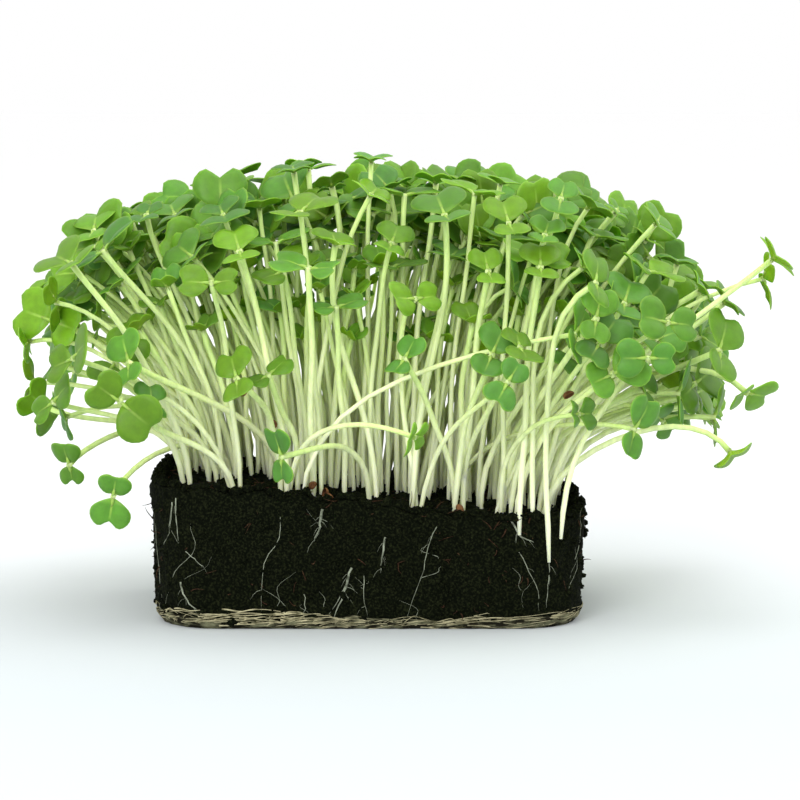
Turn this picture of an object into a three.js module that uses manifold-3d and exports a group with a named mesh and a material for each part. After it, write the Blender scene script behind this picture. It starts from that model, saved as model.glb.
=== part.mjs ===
// A block of microgreens lifted out of its punnet: seedlings with notched seed leaves on pale
// stems, standing in a pressed block of dark compost on the mat of roots knitted under it.
// Millimetres, +Z up, the front facing -Y, the origin in the middle of the flat underside.
import * as THREE from 'three';
import { mergeVertices } from 'three/addons/utils/BufferGeometryUtils.js';
import Module from 'manifold-3d';

const wasm = await Module();
wasm.setup();

// Driving dimensions
const BLOCK = { width: 111, depth: 72, corner: 15, taper: 1.2, foot: 1.8, footHeight: 5 };
const SOIL = { height: 31.8, fall: 4.2, fallOver: 30, lump: 0.7, sideLump: 0.45 };
const MAT = { thickness: 2.3, wave: 0.8 };
const GRID = { across: 14, back: 9, up: 2 };
const CLEARANCE = 0.35;
const FINEST = 0.01;

const BUNCHES = { across: 9, back: 4, inset: 8, strayAcross: 0.35, strayBack: 0.3, seedlings: 3 };
const CROWN = { top: 1, depth: 7, sides: 6, radius: 2.5, slotRadius: 1.25, stemSunk: 3.5 };
const HOLE = { radius: 3.7, past: 5 };
const STEM = { radius: 0.9, sides: 3, steps: 5, shortest: 62, longest: 86 };
const STEM_CURVE = { rise: 0.38, end: 0.3, leastReach: 60 };
const LEAF = { width: 12, length: 10.4, petiole: 2.6, petioleWidth: 1, thickness: 0.95 };
const LEAF_SHAPE = { fold: 0.24, droop: 0.022, opening: 66, small: 0.82, sunk: 1.1 };
const FAN = { side: 38, front: 26, reach: 48, astray: 12, flattest: 0.97 };

const SIDE_ROOT = { count: 12, radius: 0.5, sides: 4, steps: 5, standOff: 1, foot: 0.8 };
const SIDE_ROOT_WAY = { lowest: 0.35, higher: 0.4, wander: 0.05, wanderMore: 0.08, waves: 2.4 };

// Balls along the stem and over the leaves that stand for a seedling when room is looked for
const STEM_BALL = { radius: 1.4, spacing: 2.6, first: 4, low: 10 };
const CLEAR = { ground: 8, block: 3 };
const TRIES = 60;
const DEPTH_STEPS = [0, 3, -3, 6, -6, 9, -9, 12, -12, 15, 18];
const LEAF_BALL = { radius: 1.8, at: [[0, 0.3], [0, 0.62], [0.6, 0.5], [0.65, 0.8]] };

// The eye that the leading seedlings are placed for, and the plane they're measured against
const FRONT_PLANE = -BLOCK.depth / 2;
const EYE = new THREE.Vector3(8, FRONT_PLANE - 696, 132);

// The seedlings that give the stand its outline and its front, as they show from the eye.
// at: across and height against the block's front plane, then the depth of the leaf joint.
// lean and nod: the stem end's slope to the right and to the front, in degrees from upright.
// turn: the leaf pair's turn round the stem end. root: where the stem leaves the compost.
const LEADING = [
  { at: [-74, 93, -40], turn: 120, size: 1.2 },
  { at: [-66, 96, -24], turn: 20, size: 1.1 },
  { at: [-55, 105, -10], turn: 260, size: 0.75, lean: -8, nod: 19 },
  { at: [-48, 105, 8], turn: 100, size: 1.1, nod: 12 },
  { at: [-76, 54, -14], turn: 100, size: 0.8, lean: -110 },
  { at: [-78, 83, -20], turn: 60, size: 0.85, lean: -85, nod: -21 },
  { at: [-74, 69, -44], turn: 0, size: 1.1, lean: -70, nod: 30 },
  { at: [-85, 73, -8], turn: 80, size: 0.81, lean: -105 },
  { at: [-79, 58, -30], turn: 20, size: 0.85, lean: -65, nod: 40 },
  { at: [-81, 57, -2], turn: 60, size: 1.16, lean: -65, nod: -29 },
  { at: [-62, 58, -52], turn: 320, size: 1.1, lean: -40, nod: 100 },
  { at: [-54, 58, -34], turn: 100, size: 0.72, lean: 20, nod: 30 },
  { at: [91, 45, -30], turn: 280, size: 0.95, lean: 150, root: [48, -22] },
  { at: [-75, 42, -22], turn: 100, size: 0.68, lean: -145, root: [-46, -18] },
  { at: [-64, 34, -38], turn: 260, size: 0.88, lean: -170, root: [-44, -26] },
  { at: [-36, 105, -20], turn: 280, size: 1.1, nod: 15 },
  { at: [-27, 107, -4], turn: 100, size: 1.1 },
  { at: [-32, 96, -38], turn: 100, size: 0.98, nod: 25 },
  { at: [-39, 88, -46], turn: 180, size: 0.83, nod: 50 },
  { at: [-9, 112, 2], turn: 270, size: 0.8, lean: -17, nod: -16 },
  { at: [1, 110, -22], turn: 260, size: 0.94, lean: 30, nod: 10, root: [-13, -20] },
  { at: [6, 113, 12], turn: 100, size: 0.9 },
  { at: [-8, 98, -34], turn: 100, size: 0.94, lean: 13, nod: 5 },
  { at: [6, 98, -28], turn: 80, size: 0.85, lean: 17, nod: 25 },
  { at: [12, 84, -44], turn: 200, size: 0.83, lean: 45, nod: 45 },
  { at: [17, 113, -2], turn: 80, size: 1 },
  { at: [19, 105, -32], turn: 100, size: 1.2, lean: -9, nod: 20 },
  { at: [30, 91, -40], turn: 100, size: 0.75, nod: 35 },
  { at: [33, 113, 6], turn: 100, size: 0.9 },
  { at: [35, 103, -38], turn: 100, size: 0.94, nod: 30 },
  { at: [48, 109, -26], turn: 260, size: 0.83, nod: 35 },
  { at: [44, 100, -42], turn: 80, size: 0.79, nod: 20 },
  { at: [55, 107, -8], turn: 100, size: 1.1, lean: 38 },
  { at: [62, 106, 6], turn: 260, size: 0.68, lean: 40, nod: 13 },
  { at: [72, 103, -6], turn: 260, size: 1.04, lean: 45 },
  { at: [70, 91, -22], turn: 30, size: 1 },
  { at: [84, 87, 10], turn: 90, size: 0.9, lean: 20 },
  { at: [89, 83, -12], turn: 80, size: 0.99, lean: 50 },
  { at: [101, 94, -24], turn: 80, size: 1.1, lean: 50, root: [42, -20] },
  { at: [57, 79, -50], turn: 80, size: 0.83, nod: 60 },
  { at: [64, 83, -34], turn: 80, size: 1.1, nod: 25 },
  { at: [75, 78, -46], turn: 180, size: 0.94, nod: 55 },
  { at: [88, 71, -26], turn: 80, size: 1.1, lean: 60 },
  { at: [70, 69, -52], turn: 180, size: 0.83, nod: 95 },
  { at: [38, 72, -52], turn: 280, size: 0.85, nod: 20 },
  { at: [35, 63, -56], turn: 240, size: 0.75, nod: 65 },
  { at: [67, 51, -38], turn: 60, size: 0.9, lean: 100, root: [50, -28] },
  { at: [74, 53, -28], turn: 120, size: 0.85, lean: 140 },
  { at: [95, 60, -24], turn: 320, size: 0.94, lean: 140, nod: 31 },
  { at: [-22, 44, -54], turn: 100, size: 0.8, lean: -100, nod: 40, root: [-4, -32] },
  { at: [12, 49, -54], turn: 140, size: 0.75, lean: 110, nod: 20, root: [-18, -32] },
  { at: [9, 69, -50], turn: 60, size: 0.7, nod: 40 },
  { at: [-33, 64, -52], turn: 100, size: 0.89, lean: -40, nod: 40, root: [-24, -30] },
  { at: [-60, 68, -36], turn: 100, size: 0.9, lean: -50, nod: 40 },
];

const COLOURS = {
  soil: new THREE.MeshStandardMaterial({ color: 0x1f1912, roughness: 0.95, metalness: 0 }),
  roots: new THREE.MeshStandardMaterial({ color: 0xcfc3a0, roughness: 0.8, metalness: 0 }),
  seedling: new THREE.MeshStandardMaterial({ color: 0x7fae4a, roughness: 0.5, metalness: 0 }),
};

const radians = THREE.MathUtils.degToRad;
const UP = new THREE.Vector3(0, 0, 1);

// A small generator of numbers from 0 to 1 that gives the same run for the same seed.
function randomSource(seed) {
  const whole = 4294967296;
  let state = (seed * 2654435761) % whole;
  return () => {
    state = (state * 1664525 + 1013904223) % whole;
    return state / whole;
  };
}

function solidOf(geometry) {
  const bare = new THREE.BufferGeometry();
  bare.setAttribute('position', geometry.getAttribute('position').clone());
  bare.setIndex(geometry.index);
  const merged = mergeVertices(bare, 1e-4);
  return new wasm.Manifold(new wasm.Mesh({
    numProp: 3,
    vertProperties: merged.attributes.position.array,
    triVerts: new Uint32Array(merged.index.array),
  }));
}

function meshOf(solid, name, material) {
  const { vertProperties, triVerts } = solid.getMesh();
  const geometry = new THREE.BufferGeometry();
  geometry.setAttribute('position', new THREE.BufferAttribute(vertProperties, 3));
  geometry.setIndex(new THREE.BufferAttribute(triVerts, 1));
  geometry.computeVertexNormals();
  const mesh = new THREE.Mesh(geometry, material);
  mesh.name = name;
  return mesh;
}

// The lumpy top of the compost, higher at the left than at the right.
function soilTop(x, y) {
  const lumps = Math.sin(0.55 * x + 1.3 * Math.sin(0.31 * y)) * Math.cos(0.47 * y + 0.6);
  return SOIL.height - SOIL.fall * Math.tanh(x / SOIL.fallOver) + SOIL.lump * lumps;
}

// The upper side of the root mat, which rises and thins along the foot of the block.
function matTop(x, y) {
  return MAT.thickness + MAT.wave * (Math.sin(0.13 * x + 2) + 0.5 * Math.sin(0.17 * y));
}

// How far the block's side stands out at a place round it, past its plain outline.
function sideRelief(x, y, z) {
  return SOIL.sideLump * Math.sin(0.24 * x + 0.4 * z) * Math.cos(0.21 * y - 0.3 * z);
}

// A point of the block's rounded plan. Across and back run from -1 to 1, edge to edge.
function planPoint(across, back, z) {
  const footShare = Math.max(0, 1 - z / BLOCK.footHeight);
  const inset = BLOCK.taper * (1 - z / SOIL.height) + BLOCK.foot * footShare * footShare;
  const half = new THREE.Vector2(BLOCK.width / 2 - inset, BLOCK.depth / 2 - inset);
  const point = new THREE.Vector2(across * half.x, back * half.y);
  const past = new THREE.Vector2(
    Math.max(0, Math.abs(point.x) - (half.x - BLOCK.corner)),
    Math.max(0, Math.abs(point.y) - (half.y - BLOCK.corner)),
  );
  if (past.x > 0 && past.y > 0) {
    const rounded = past.clone().multiplyScalar(Math.max(past.x, past.y) / past.length());
    point.x -= Math.sign(point.x) * (past.x - rounded.x);
    point.y -= Math.sign(point.y) * (past.y - rounded.y);
  }
  return point;
}

// A box of many faces whose corners are moved by a rule from (across, back, up) to a point.
function shapedBox(segmentsUp, place) {
  const box = new THREE.BoxGeometry(2, 2, 1, GRID.across, GRID.back, segmentsUp);
  box.translate(0, 0, 0.5);
  const positions = box.getAttribute('position');
  for (let i = 0; i < positions.count; i += 1) {
    const point = place(positions.getX(i), positions.getY(i), positions.getZ(i));
    positions.setXYZ(i, point.x, point.y, point.z);
  }
  return solidOf(box);
}

function soilBlock(bunches) {
  const block = shapedBox(GRID.up, (across, back, up) => {
    const rough = planPoint(across, back, up * SOIL.height);
    const bottom = matTop(rough.x, rough.y) + CLEARANCE;
    const z = THREE.MathUtils.lerp(bottom, soilTop(rough.x, rough.y), up);
    const plan = planPoint(across, back, z);
    const onSide = Math.max(Math.abs(across), Math.abs(back)) > 0.999;
    const out = onSide ? 1 + sideRelief(plan.x, plan.y, z) / plan.length() : 1;
    return new THREE.Vector3(plan.x * out, plan.y * out, z);
  });
  return bunches.reduce((left, bunch) => left.subtract(rootHole(bunch.centre)), block);
}

function rootMat() {
  const mat = shapedBox(1, (across, back, up) => {
    const rough = planPoint(across, back, 0);
    const z = up * matTop(rough.x, rough.y);
    const plan = planPoint(across, back, z);
    return new THREE.Vector3(plan.x, plan.y, z);
  });
  let whole = mat;
  for (let i = 0; i < SIDE_ROOT.count; i += 1) whole = whole.add(sideRoot(i));
  return whole;
}

// A root that has grown up from the mat along the side of the block.
function sideRoot(index) {
  const random = randomSource(700 + index);
  const round = (2 * Math.PI * (index + 0.6 * random())) / SIDE_ROOT.count;
  const height = SOIL.height * (SIDE_ROOT_WAY.lowest + SIDE_ROOT_WAY.higher * random());
  const wander = SIDE_ROOT_WAY.wander + SIDE_ROOT_WAY.wanderMore * random();
  const phase = 6 * random();
  const points = [];
  for (let i = 0; i <= SIDE_ROOT.steps; i += 1) {
    const share = i / SIDE_ROOT.steps;
    const z = SIDE_ROOT.foot + (height - SIDE_ROOT.foot) * share * share;
    const angle = round + wander * Math.sin(SIDE_ROOT_WAY.waves * share + phase);
    const square = Math.max(Math.abs(Math.cos(angle)), Math.abs(Math.sin(angle)));
    const plan = planPoint(Math.cos(angle) / square, Math.sin(angle) / square, z);
    const out = i === 0 ? -SIDE_ROOT.standOff : SIDE_ROOT.standOff + SIDE_ROOT.radius;
    plan.multiplyScalar(1 + out / plan.length());
    points.push(new THREE.Vector3(plan.x, plan.y, z));
  }
  const path = new THREE.CatmullRomCurve3(points);
  return tube(path, SIDE_ROOT.radius, SIDE_ROOT.sides, SIDE_ROOT.steps);
}

function tube(path, radius, sides, steps) {
  const section = new THREE.Shape(polygon(radius, sides));
  return solidOf(new THREE.ExtrudeGeometry(section, {
    steps, extrudePath: path, bevelEnabled: false,
  }));
}

function polygon(radius, sides) {
  const corners = [];
  for (let i = 0; i < sides; i += 1) {
    const angle = (2 * Math.PI * i) / sides;
    corners.push(new THREE.Vector2(radius * Math.cos(angle), radius * Math.sin(angle)));
  }
  return corners;
}

function prism(centre, radius, bottom, top) {
  const geometry = new THREE.ExtrudeGeometry(new THREE.Shape(polygon(radius, CROWN.sides)), {
    depth: top - bottom, bevelEnabled: false,
  });
  geometry.translate(centre.x, centre.y, bottom);
  return solidOf(geometry);
}

function rootHole(centre) {
  const soil = soilTop(centre.x, centre.y);
  const bottom = soil - CROWN.top - CROWN.depth - CLEARANCE;
  return prism(centre, HOLE.radius, bottom, soil + HOLE.past);
}

function crown(centre) {
  const top = soilTop(centre.x, centre.y) - CROWN.top;
  return prism(centre, CROWN.radius, top - CROWN.depth, top);
}

// The places of the bunches: rows and columns over the top of the block, a little astray.
function layOutBunches() {
  const random = randomSource(41);
  const bunches = [];
  for (let row = 0; row < BUNCHES.back; row += 1) {
    for (let column = 0; column < BUNCHES.across; column += 1) {
      const across = (column + 0.5 + BUNCHES.strayAcross * (random() - 0.5)) / BUNCHES.across;
      const back = (row + 0.5 + BUNCHES.strayBack * (random() - 0.5)) / BUNCHES.back;
      const plan = planPoint(2 * across - 1, 2 * back - 1, SOIL.height);
      const keep = 1 - BUNCHES.inset / BLOCK.width;
      bunches.push({ centre: plan.multiplyScalar(keep), phase: random(), seedlings: [] });
    }
  }
  return bunches;
}

function inDepth([across, height, depth]) {
  const shown = new THREE.Vector3(across, FRONT_PLANE, height);
  const share = (depth - EYE.y) / (FRONT_PLANE - EYE.y);
  return shown.sub(EYE).multiplyScalar(share).add(EYE);
}

// Where a stem leaves the compost for a leaf joint that stands out so far: the stand fans out.
function rootUnder(tip) {
  return new THREE.Vector2(
    tip.x * (0.8 - 0.003 * Math.abs(tip.x)),
    tip.y * 0.58,
  );
}

function slotOf(bunch, number) {
  const angle = 2 * Math.PI * (bunch.phase + number / BUNCHES.seedlings);
  const x = bunch.centre.x + CROWN.slotRadius * Math.cos(angle);
  const y = bunch.centre.y + CROWN.slotRadius * Math.sin(angle);
  const z = soilTop(bunch.centre.x, bunch.centre.y) - CROWN.top - CROWN.stemSunk;
  return new THREE.Vector3(x, y, z);
}

// The stem end's direction: further out than the stem as a whole, unless lean or nod say.
function endDirection(root, tip, lean, nod) {
  const chord = tip.clone().sub(root);
  const slopeRight = lean === undefined ? Math.atan2(1.5 * chord.x, chord.z) : radians(lean);
  const slopeFront = nod === undefined ? Math.atan2(-1.4 * chord.y, Math.abs(chord.z) + 20)
    : radians(nod);
  return new THREE.Vector3(
    Math.sin(slopeRight) * Math.cos(slopeFront),
    -Math.sin(slopeFront),
    Math.cos(slopeRight) * Math.cos(slopeFront),
  );
}

function stemPath(root, tip, end) {
  const reach = Math.max(tip.distanceTo(root), STEM_CURVE.leastReach);
  const rise = root.clone().addScaledVector(UP, STEM_CURVE.rise * reach);
  const before = tip.clone().addScaledVector(end, -STEM_CURVE.end * reach);
  return new THREE.CubicBezierCurve3(root, rise, before, tip);
}

// The two seed leaves' frames: each opens to its side of the stem end, upper face inwards.
function leafFrames(plan) {
  const right = new THREE.Vector3(1, 0, 0);
  const side = right.addScaledVector(plan.end, -plan.end.x);
  if (side.length() < 0.2) side.set(0, 1, 0).addScaledVector(plan.end, -plan.end.y);
  side.normalize().applyAxisAngle(plan.end, radians(plan.turn));
  const opening = radians(LEAF_SHAPE.opening);
  return [1, -1].map((way) => {
    const along = plan.end.clone().multiplyScalar(Math.cos(opening));
    along.addScaledVector(side, way * Math.sin(opening));
    const face = plan.end.clone().multiplyScalar(Math.sin(opening));
    face.addScaledVector(side, -way * Math.cos(opening));
    const across = new THREE.Vector3().crossVectors(along, face);
    const from = plan.tip.clone().addScaledVector(plan.end, -LEAF_SHAPE.sunk);
    const size = plan.size * (way > 0 ? 1 : LEAF_SHAPE.small);
    return { across, along, face, from, size };
  });
}

// A point of the leaf's middle surface: folded up along the rib and drooping to the notch.
function leafPoint(across, along, size) {
  const drop = LEAF_SHAPE.droop * along * along;
  const lift = LEAF_SHAPE.fold * Math.max(0, Math.abs(across) - LEAF.petioleWidth / 2);
  return new THREE.Vector3(across, along, lift - drop / size);
}

// The leaf's outline on one side, from the petiole's foot round the lobe to the notch.
function leafOutline(size) {
  const half = (size * LEAF.width) / 2;
  const length = size * LEAF.length;
  const petiole = LEAF.petioleWidth / 2;
  return [
    [petiole, 0],
    [petiole * 1.3, size * LEAF.petiole],
    [0.93 * half, 0.5 * length],
    [0.97 * half, 0.8 * length],
    [0.45 * half, length],
    [0, 0.86 * length],
  ];
}

function leaf(frame) {
  const outline = leafOutline(frame.size);
  const rib = [0, 0.5].map((share) => [0, share * frame.size * LEAF.length]);
  const rows = {
    right: outline.map(([x, y]) => leafPoint(x, y, frame.size)),
    left: outline.map(([x, y]) => leafPoint(-x, y, frame.size)),
    top: rib.map(([x, y]) => leafPoint(x, y, frame.size)),
    bottom: rib.map(([x, y]) => leafPoint(x, y, frame.size)),
  };
  rows.top.forEach((point) => { point.z += LEAF.thickness / 2; });
  rows.bottom.forEach((point) => { point.z -= LEAF.thickness / 2; });
  const faces = [];
  const strip = (ribRow, edge, turned) => {
    const [foot, middle] = ribRow;
    const corners = [[foot, edge[0], edge[1]], [foot, edge[1], middle]];
    for (let i = 1; i + 1 < edge.length; i += 1) corners.push([middle, edge[i], edge[i + 1]]);
    corners.forEach(([a, b, c]) => faces.push(turned ? [a, c, b] : [a, b, c]));
  };
  strip(rows.top, rows.right, false);
  strip(rows.top, rows.left, true);
  strip(rows.bottom, rows.right, true);
  strip(rows.bottom, rows.left, false);
  faces.push([rows.right[0], rows.top[0], rows.left[0]]);
  faces.push([rows.right[0], rows.left[0], rows.bottom[0]]);
  const geometry = new THREE.BufferGeometry().setFromPoints(faces.flat());
  const place = new THREE.Matrix4().makeBasis(frame.across, frame.along, frame.face);
  geometry.applyMatrix4(place.setPosition(frame.from));
  geometry.setIndex([...Array(faces.length * 3).keys()]);
  return solidOf(geometry);
}

function seedling(plan) {
  const stem = tube(plan.path, STEM.radius, STEM.sides, STEM.steps);
  return leafFrames(plan).reduce((whole, frame) => whole.add(leaf(frame)), stem);
}

function planOf(bunch, number, wish) {
  const root = slotOf(bunch, number);
  const end = endDirection(root, wish.tip, wish.lean, wish.nod);
  const path = stemPath(root, wish.tip, end);
  return { ...wish, root, end, path };
}

function ballsOf(plan) {
  const balls = [];
  const length = plan.path.getLength();
  const count = Math.ceil(length / STEM_BALL.spacing);
  for (let i = STEM_BALL.first; i <= count; i += 1) {
    const low = i < STEM_BALL.low;
    balls.push({ at: plan.path.getPoint(i / count), radius: STEM_BALL.radius, low });
  }
  leafFrames(plan).forEach((frame) => {
    const place = new THREE.Matrix4().makeBasis(frame.across, frame.along, frame.face);
    place.setPosition(frame.from);
    LEAF_BALL.at.forEach(([x, y]) => [1, -1].forEach((side) => {
      if (x === 0 && side < 0) return;
      const across = (side * x * frame.size * LEAF.width) / 2;
      const at = leafPoint(across, y * frame.size * LEAF.length, frame.size);
      balls.push({ at: at.applyMatrix4(place), radius: LEAF_BALL.radius, low: false });
    }));
  });
  return balls;
}

function touches(ball, other) {
  return ball.at.distanceTo(other.at) < ball.radius + other.radius;
}

// A stem is clear of the compost if none of it dips back into the block or the ground.
function aboveGround(balls) {
  return balls.every(({ at, low }) => {
    const besideX = Math.abs(at.x) > BLOCK.width / 2 + CLEAR.block;
    const besideY = Math.abs(at.y) > BLOCK.depth / 2 + CLEAR.block;
    const over = at.z > SOIL.height + SOIL.fall + CLEAR.block;
    return at.z > CLEAR.ground && (low || besideX || besideY || over);
  });
}

function hasRoom(balls, bunch, bunches) {
  return bunches.every((other) => other.seedlings.every((planted) => (
    planted.balls.every((there) => balls.every((ball) => {
      const sameCrown = other === bunch && (there.low || ball.low);
      return sameCrown || !touches(ball, there);
    }))
  )));
}

function plant(plan, bunch, bunches) {
  const balls = ballsOf(plan);
  if (!aboveGround(balls) || !hasRoom(balls, bunch, bunches)) return false;
  bunch.seedlings.push({ plan, balls });
  return true;
}

// Plants a leading seedling in the nearest bunch with a place left, moved in depth until clear.
function plantLeading(bunches) {
  LEADING.forEach((wish) => {
    const { at: [across, height, depth] } = wish;
    DEPTH_STEPS.some((step) => {
      const tip = inDepth([across, height, depth + step]);
      const root = wish.root ? new THREE.Vector2(...wish.root) : rootUnder(tip);
      const free = bunches.filter((bunch) => bunch.seedlings.length < BUNCHES.seedlings);
      free.sort((a, b) => a.centre.distanceTo(root) - b.centre.distanceTo(root));
      return free.slice(0, 3).some((bunch) => (
        plant(planOf(bunch, bunch.seedlings.length, { ...wish, tip }), bunch, bunches)
      ));
    });
  });
}

// Draws a seedling that fans out from its bunch, the more the nearer it stands to the edge.
function drawWish(bunch, random) {
  const side = (bunch.centre.x / (BLOCK.width / 2)) * (0.25 + 0.85 * random());
  const front = (bunch.centre.y / (BLOCK.depth / 2)) * (0.25 + 0.95 * random());
  const out = new THREE.Vector2(
    FAN.side * side + FAN.astray * (random() - 0.5),
    FAN.front * front + FAN.astray * (random() - 0.5),
  );
  const length = THREE.MathUtils.lerp(STEM.shortest, STEM.longest, random());
  const share = Math.min(FAN.flattest, out.length() / FAN.reach);
  const rise = length * Math.sqrt(1 - share * share);
  const { x, y } = bunch.centre;
  const tip = new THREE.Vector3(x + out.x, y + out.y, soilTop(x, y) + rise);
  return { tip, turn: 180 * random(), size: 0.85 + 0.3 * random() };
}

function plantTheRest(bunches) {
  bunches.forEach((bunch, index) => {
    for (let attempt = 0; attempt < TRIES; attempt += 1) {
      if (bunch.seedlings.length === BUNCHES.seedlings) return;
      const random = randomSource(1 + TRIES * index + attempt);
      const number = bunch.seedlings.length;
      plant(planOf(bunch, number, drawWish(bunch, random)), bunch, bunches);
    }
  });
}

function bunchSolid(bunch) {
  const whole = bunch.seedlings.reduce(
    (fused, { plan }) => fused.add(seedling(plan)),
    crown(bunch.centre),
  );
  return whole.simplify(FINEST);
}

const bunches = layOutBunches();
plantLeading(bunches);
plantTheRest(bunches);

const microgreens = new THREE.Group();
microgreens.add(meshOf(soilBlock(bunches), 'soil_block', COLOURS.soil));
microgreens.add(meshOf(rootMat(), 'root_mat', COLOURS.roots));
bunches.forEach((bunch, index) => {
  const name = `seedling_bunch_${String(index + 1).padStart(2, '0')}`;
  microgreens.add(meshOf(bunchSolid(bunch), name, COLOURS.seedling));
});

export default microgreens;
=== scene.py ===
"""Dresses a block of microgreens: seedlings, compost, roots and seed coats, in a small studio."""
import itertools
import logging
import math
from collections.abc import Callable
from dataclasses import dataclass, field
from enum import Enum

import bmesh
import bpy
import numpy as np
from mathutils import Euler, Matrix, Vector, noise


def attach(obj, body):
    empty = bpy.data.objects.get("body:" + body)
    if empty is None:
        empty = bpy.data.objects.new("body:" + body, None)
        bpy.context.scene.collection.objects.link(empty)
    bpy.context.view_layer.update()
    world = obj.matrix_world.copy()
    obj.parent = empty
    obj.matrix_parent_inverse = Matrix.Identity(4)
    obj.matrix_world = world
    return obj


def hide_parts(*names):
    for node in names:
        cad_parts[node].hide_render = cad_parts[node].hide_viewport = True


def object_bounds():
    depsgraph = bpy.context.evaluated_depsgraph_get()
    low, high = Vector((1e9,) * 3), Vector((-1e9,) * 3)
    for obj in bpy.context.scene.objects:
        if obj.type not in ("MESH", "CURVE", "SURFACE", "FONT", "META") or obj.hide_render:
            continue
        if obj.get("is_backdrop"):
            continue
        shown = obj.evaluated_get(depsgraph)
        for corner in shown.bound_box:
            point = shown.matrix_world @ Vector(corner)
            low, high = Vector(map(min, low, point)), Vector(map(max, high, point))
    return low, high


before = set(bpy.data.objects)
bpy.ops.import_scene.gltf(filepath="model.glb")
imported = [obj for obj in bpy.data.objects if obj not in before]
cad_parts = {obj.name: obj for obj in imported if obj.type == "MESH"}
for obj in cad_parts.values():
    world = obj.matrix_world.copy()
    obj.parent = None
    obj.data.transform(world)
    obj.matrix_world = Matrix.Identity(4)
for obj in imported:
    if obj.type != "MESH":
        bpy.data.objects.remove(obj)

LOG = logging.getLogger("microgreens")
Value = bpy.types.NodeSocket | float | tuple
MM = 0.001
BODY = "root"
UP = np.array((0.0, 0.0, 1.0))


class RandomRun:
    """A run of numbers from 0 to 1, the same for the same seed, as the solids' rule draws it."""

    WHOLE = 4294967296
    SPREAD = 2654435761
    STEP = 1664525
    SHIFT = 1013904223

    def __init__(self, seed: int) -> None:
        """Start the run.

        Args:
            seed: The whole number that settles the run.
        """
        self.state = (seed * self.SPREAD) % self.WHOLE

    def draw(self) -> float:
        """Return the next number."""
        self.state = (self.state * self.STEP + self.SHIFT) % self.WHOLE
        return self.state / self.WHOLE

    def between(self, low: float, high: float) -> float:
        """Return the next number, spread from low to high."""
        return low + (high - low) * self.draw()


@dataclass(frozen=True)
class Block:
    """The sizes of the compost block in millimetres, and the form of its surfaces."""

    width: float = 111.0
    depth: float = 72.0
    corner: float = 15.0
    taper: float = 1.2
    foot: float = 1.8
    foot_height: float = 5.0
    height: float = 31.8
    fall: float = 4.2
    fall_over: float = 30.0
    lump: float = 0.7
    mat_thickness: float = 2.3
    mat_wave: float = 0.8

    def soil_top(self, x: float, y: float) -> float:
        """Return the height of the compost's lumpy top."""
        lumps = math.sin(0.55 * x + 1.3 * math.sin(0.31 * y)) * math.cos(0.47 * y + 0.6)
        return self.height - self.fall * math.tanh(x / self.fall_over) + self.lump * lumps

    def mat_top(self, x: float, y: float) -> float:
        """Return the height of the root mat's upper side."""
        wave = math.sin(0.13 * x + 2) + 0.5 * math.sin(0.17 * y)
        return self.mat_thickness + self.mat_wave * wave

    def plan_point(self, across: float, back: float, z: float) -> np.ndarray:
        """Place a point of the block's rounded plan.

        Args:
            across: Left to right, from -1 to 1, edge to edge.
            back: Front to back, from -1 to 1, edge to edge.
            z: The height, which settles how far the sides taper in.

        Returns:
            The point's x and y.
        """
        foot_share = max(0.0, 1 - z / self.foot_height)
        inset = self.taper * (1 - z / self.height) + self.foot * foot_share * foot_share
        half_x, half_y = self.width / 2 - inset, self.depth / 2 - inset
        x, y = across * half_x, back * half_y
        past_x = max(0.0, abs(x) - (half_x - self.corner))
        past_y = max(0.0, abs(y) - (half_y - self.corner))
        if past_x > 0 and past_y > 0:
            share = max(past_x, past_y) / math.hypot(past_x, past_y)
            x -= math.copysign(past_x * (1 - share), x)
            y -= math.copysign(past_y * (1 - share), y)
        return np.array((x, y))


BLOCK = Block()
FRONT_PLANE = -BLOCK.depth / 2
EYE = np.array((8.0, FRONT_PLANE - 696, 132.0))


def edge_at(angle: float) -> tuple[float, float]:
    """Return where a direction from the block's middle meets its edge, as across and back."""
    square = max(abs(math.cos(angle)), abs(math.sin(angle)))
    return math.cos(angle) / square, math.sin(angle) / square


@dataclass(frozen=True)
class Wish:
    """A seedling that is wanted at a place, seen from the eye against the block's front plane.

    across, height and depth give the leaf joint. lean and nod are the stem end's slopes to the
    right and to the front in degrees, root is where the stem leaves the compost, and sunk is how
    far under the compost's top it starts.
    """

    across: float
    height: float
    depth: float
    turn: float
    size: float
    lean: float | None = None
    nod: float | None = None
    root: tuple[float, float] | None = None
    sunk: float = 3.5

    def tip(self, step: float = 0.0) -> np.ndarray:
        """Return the leaf joint's place, moved along the line of sight by a step in depth."""
        shown = np.array((self.across, FRONT_PLANE, self.height))
        share = (self.depth + step - EYE[1]) / (FRONT_PLANE - EYE[1])
        return (shown - EYE) * share + EYE


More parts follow.
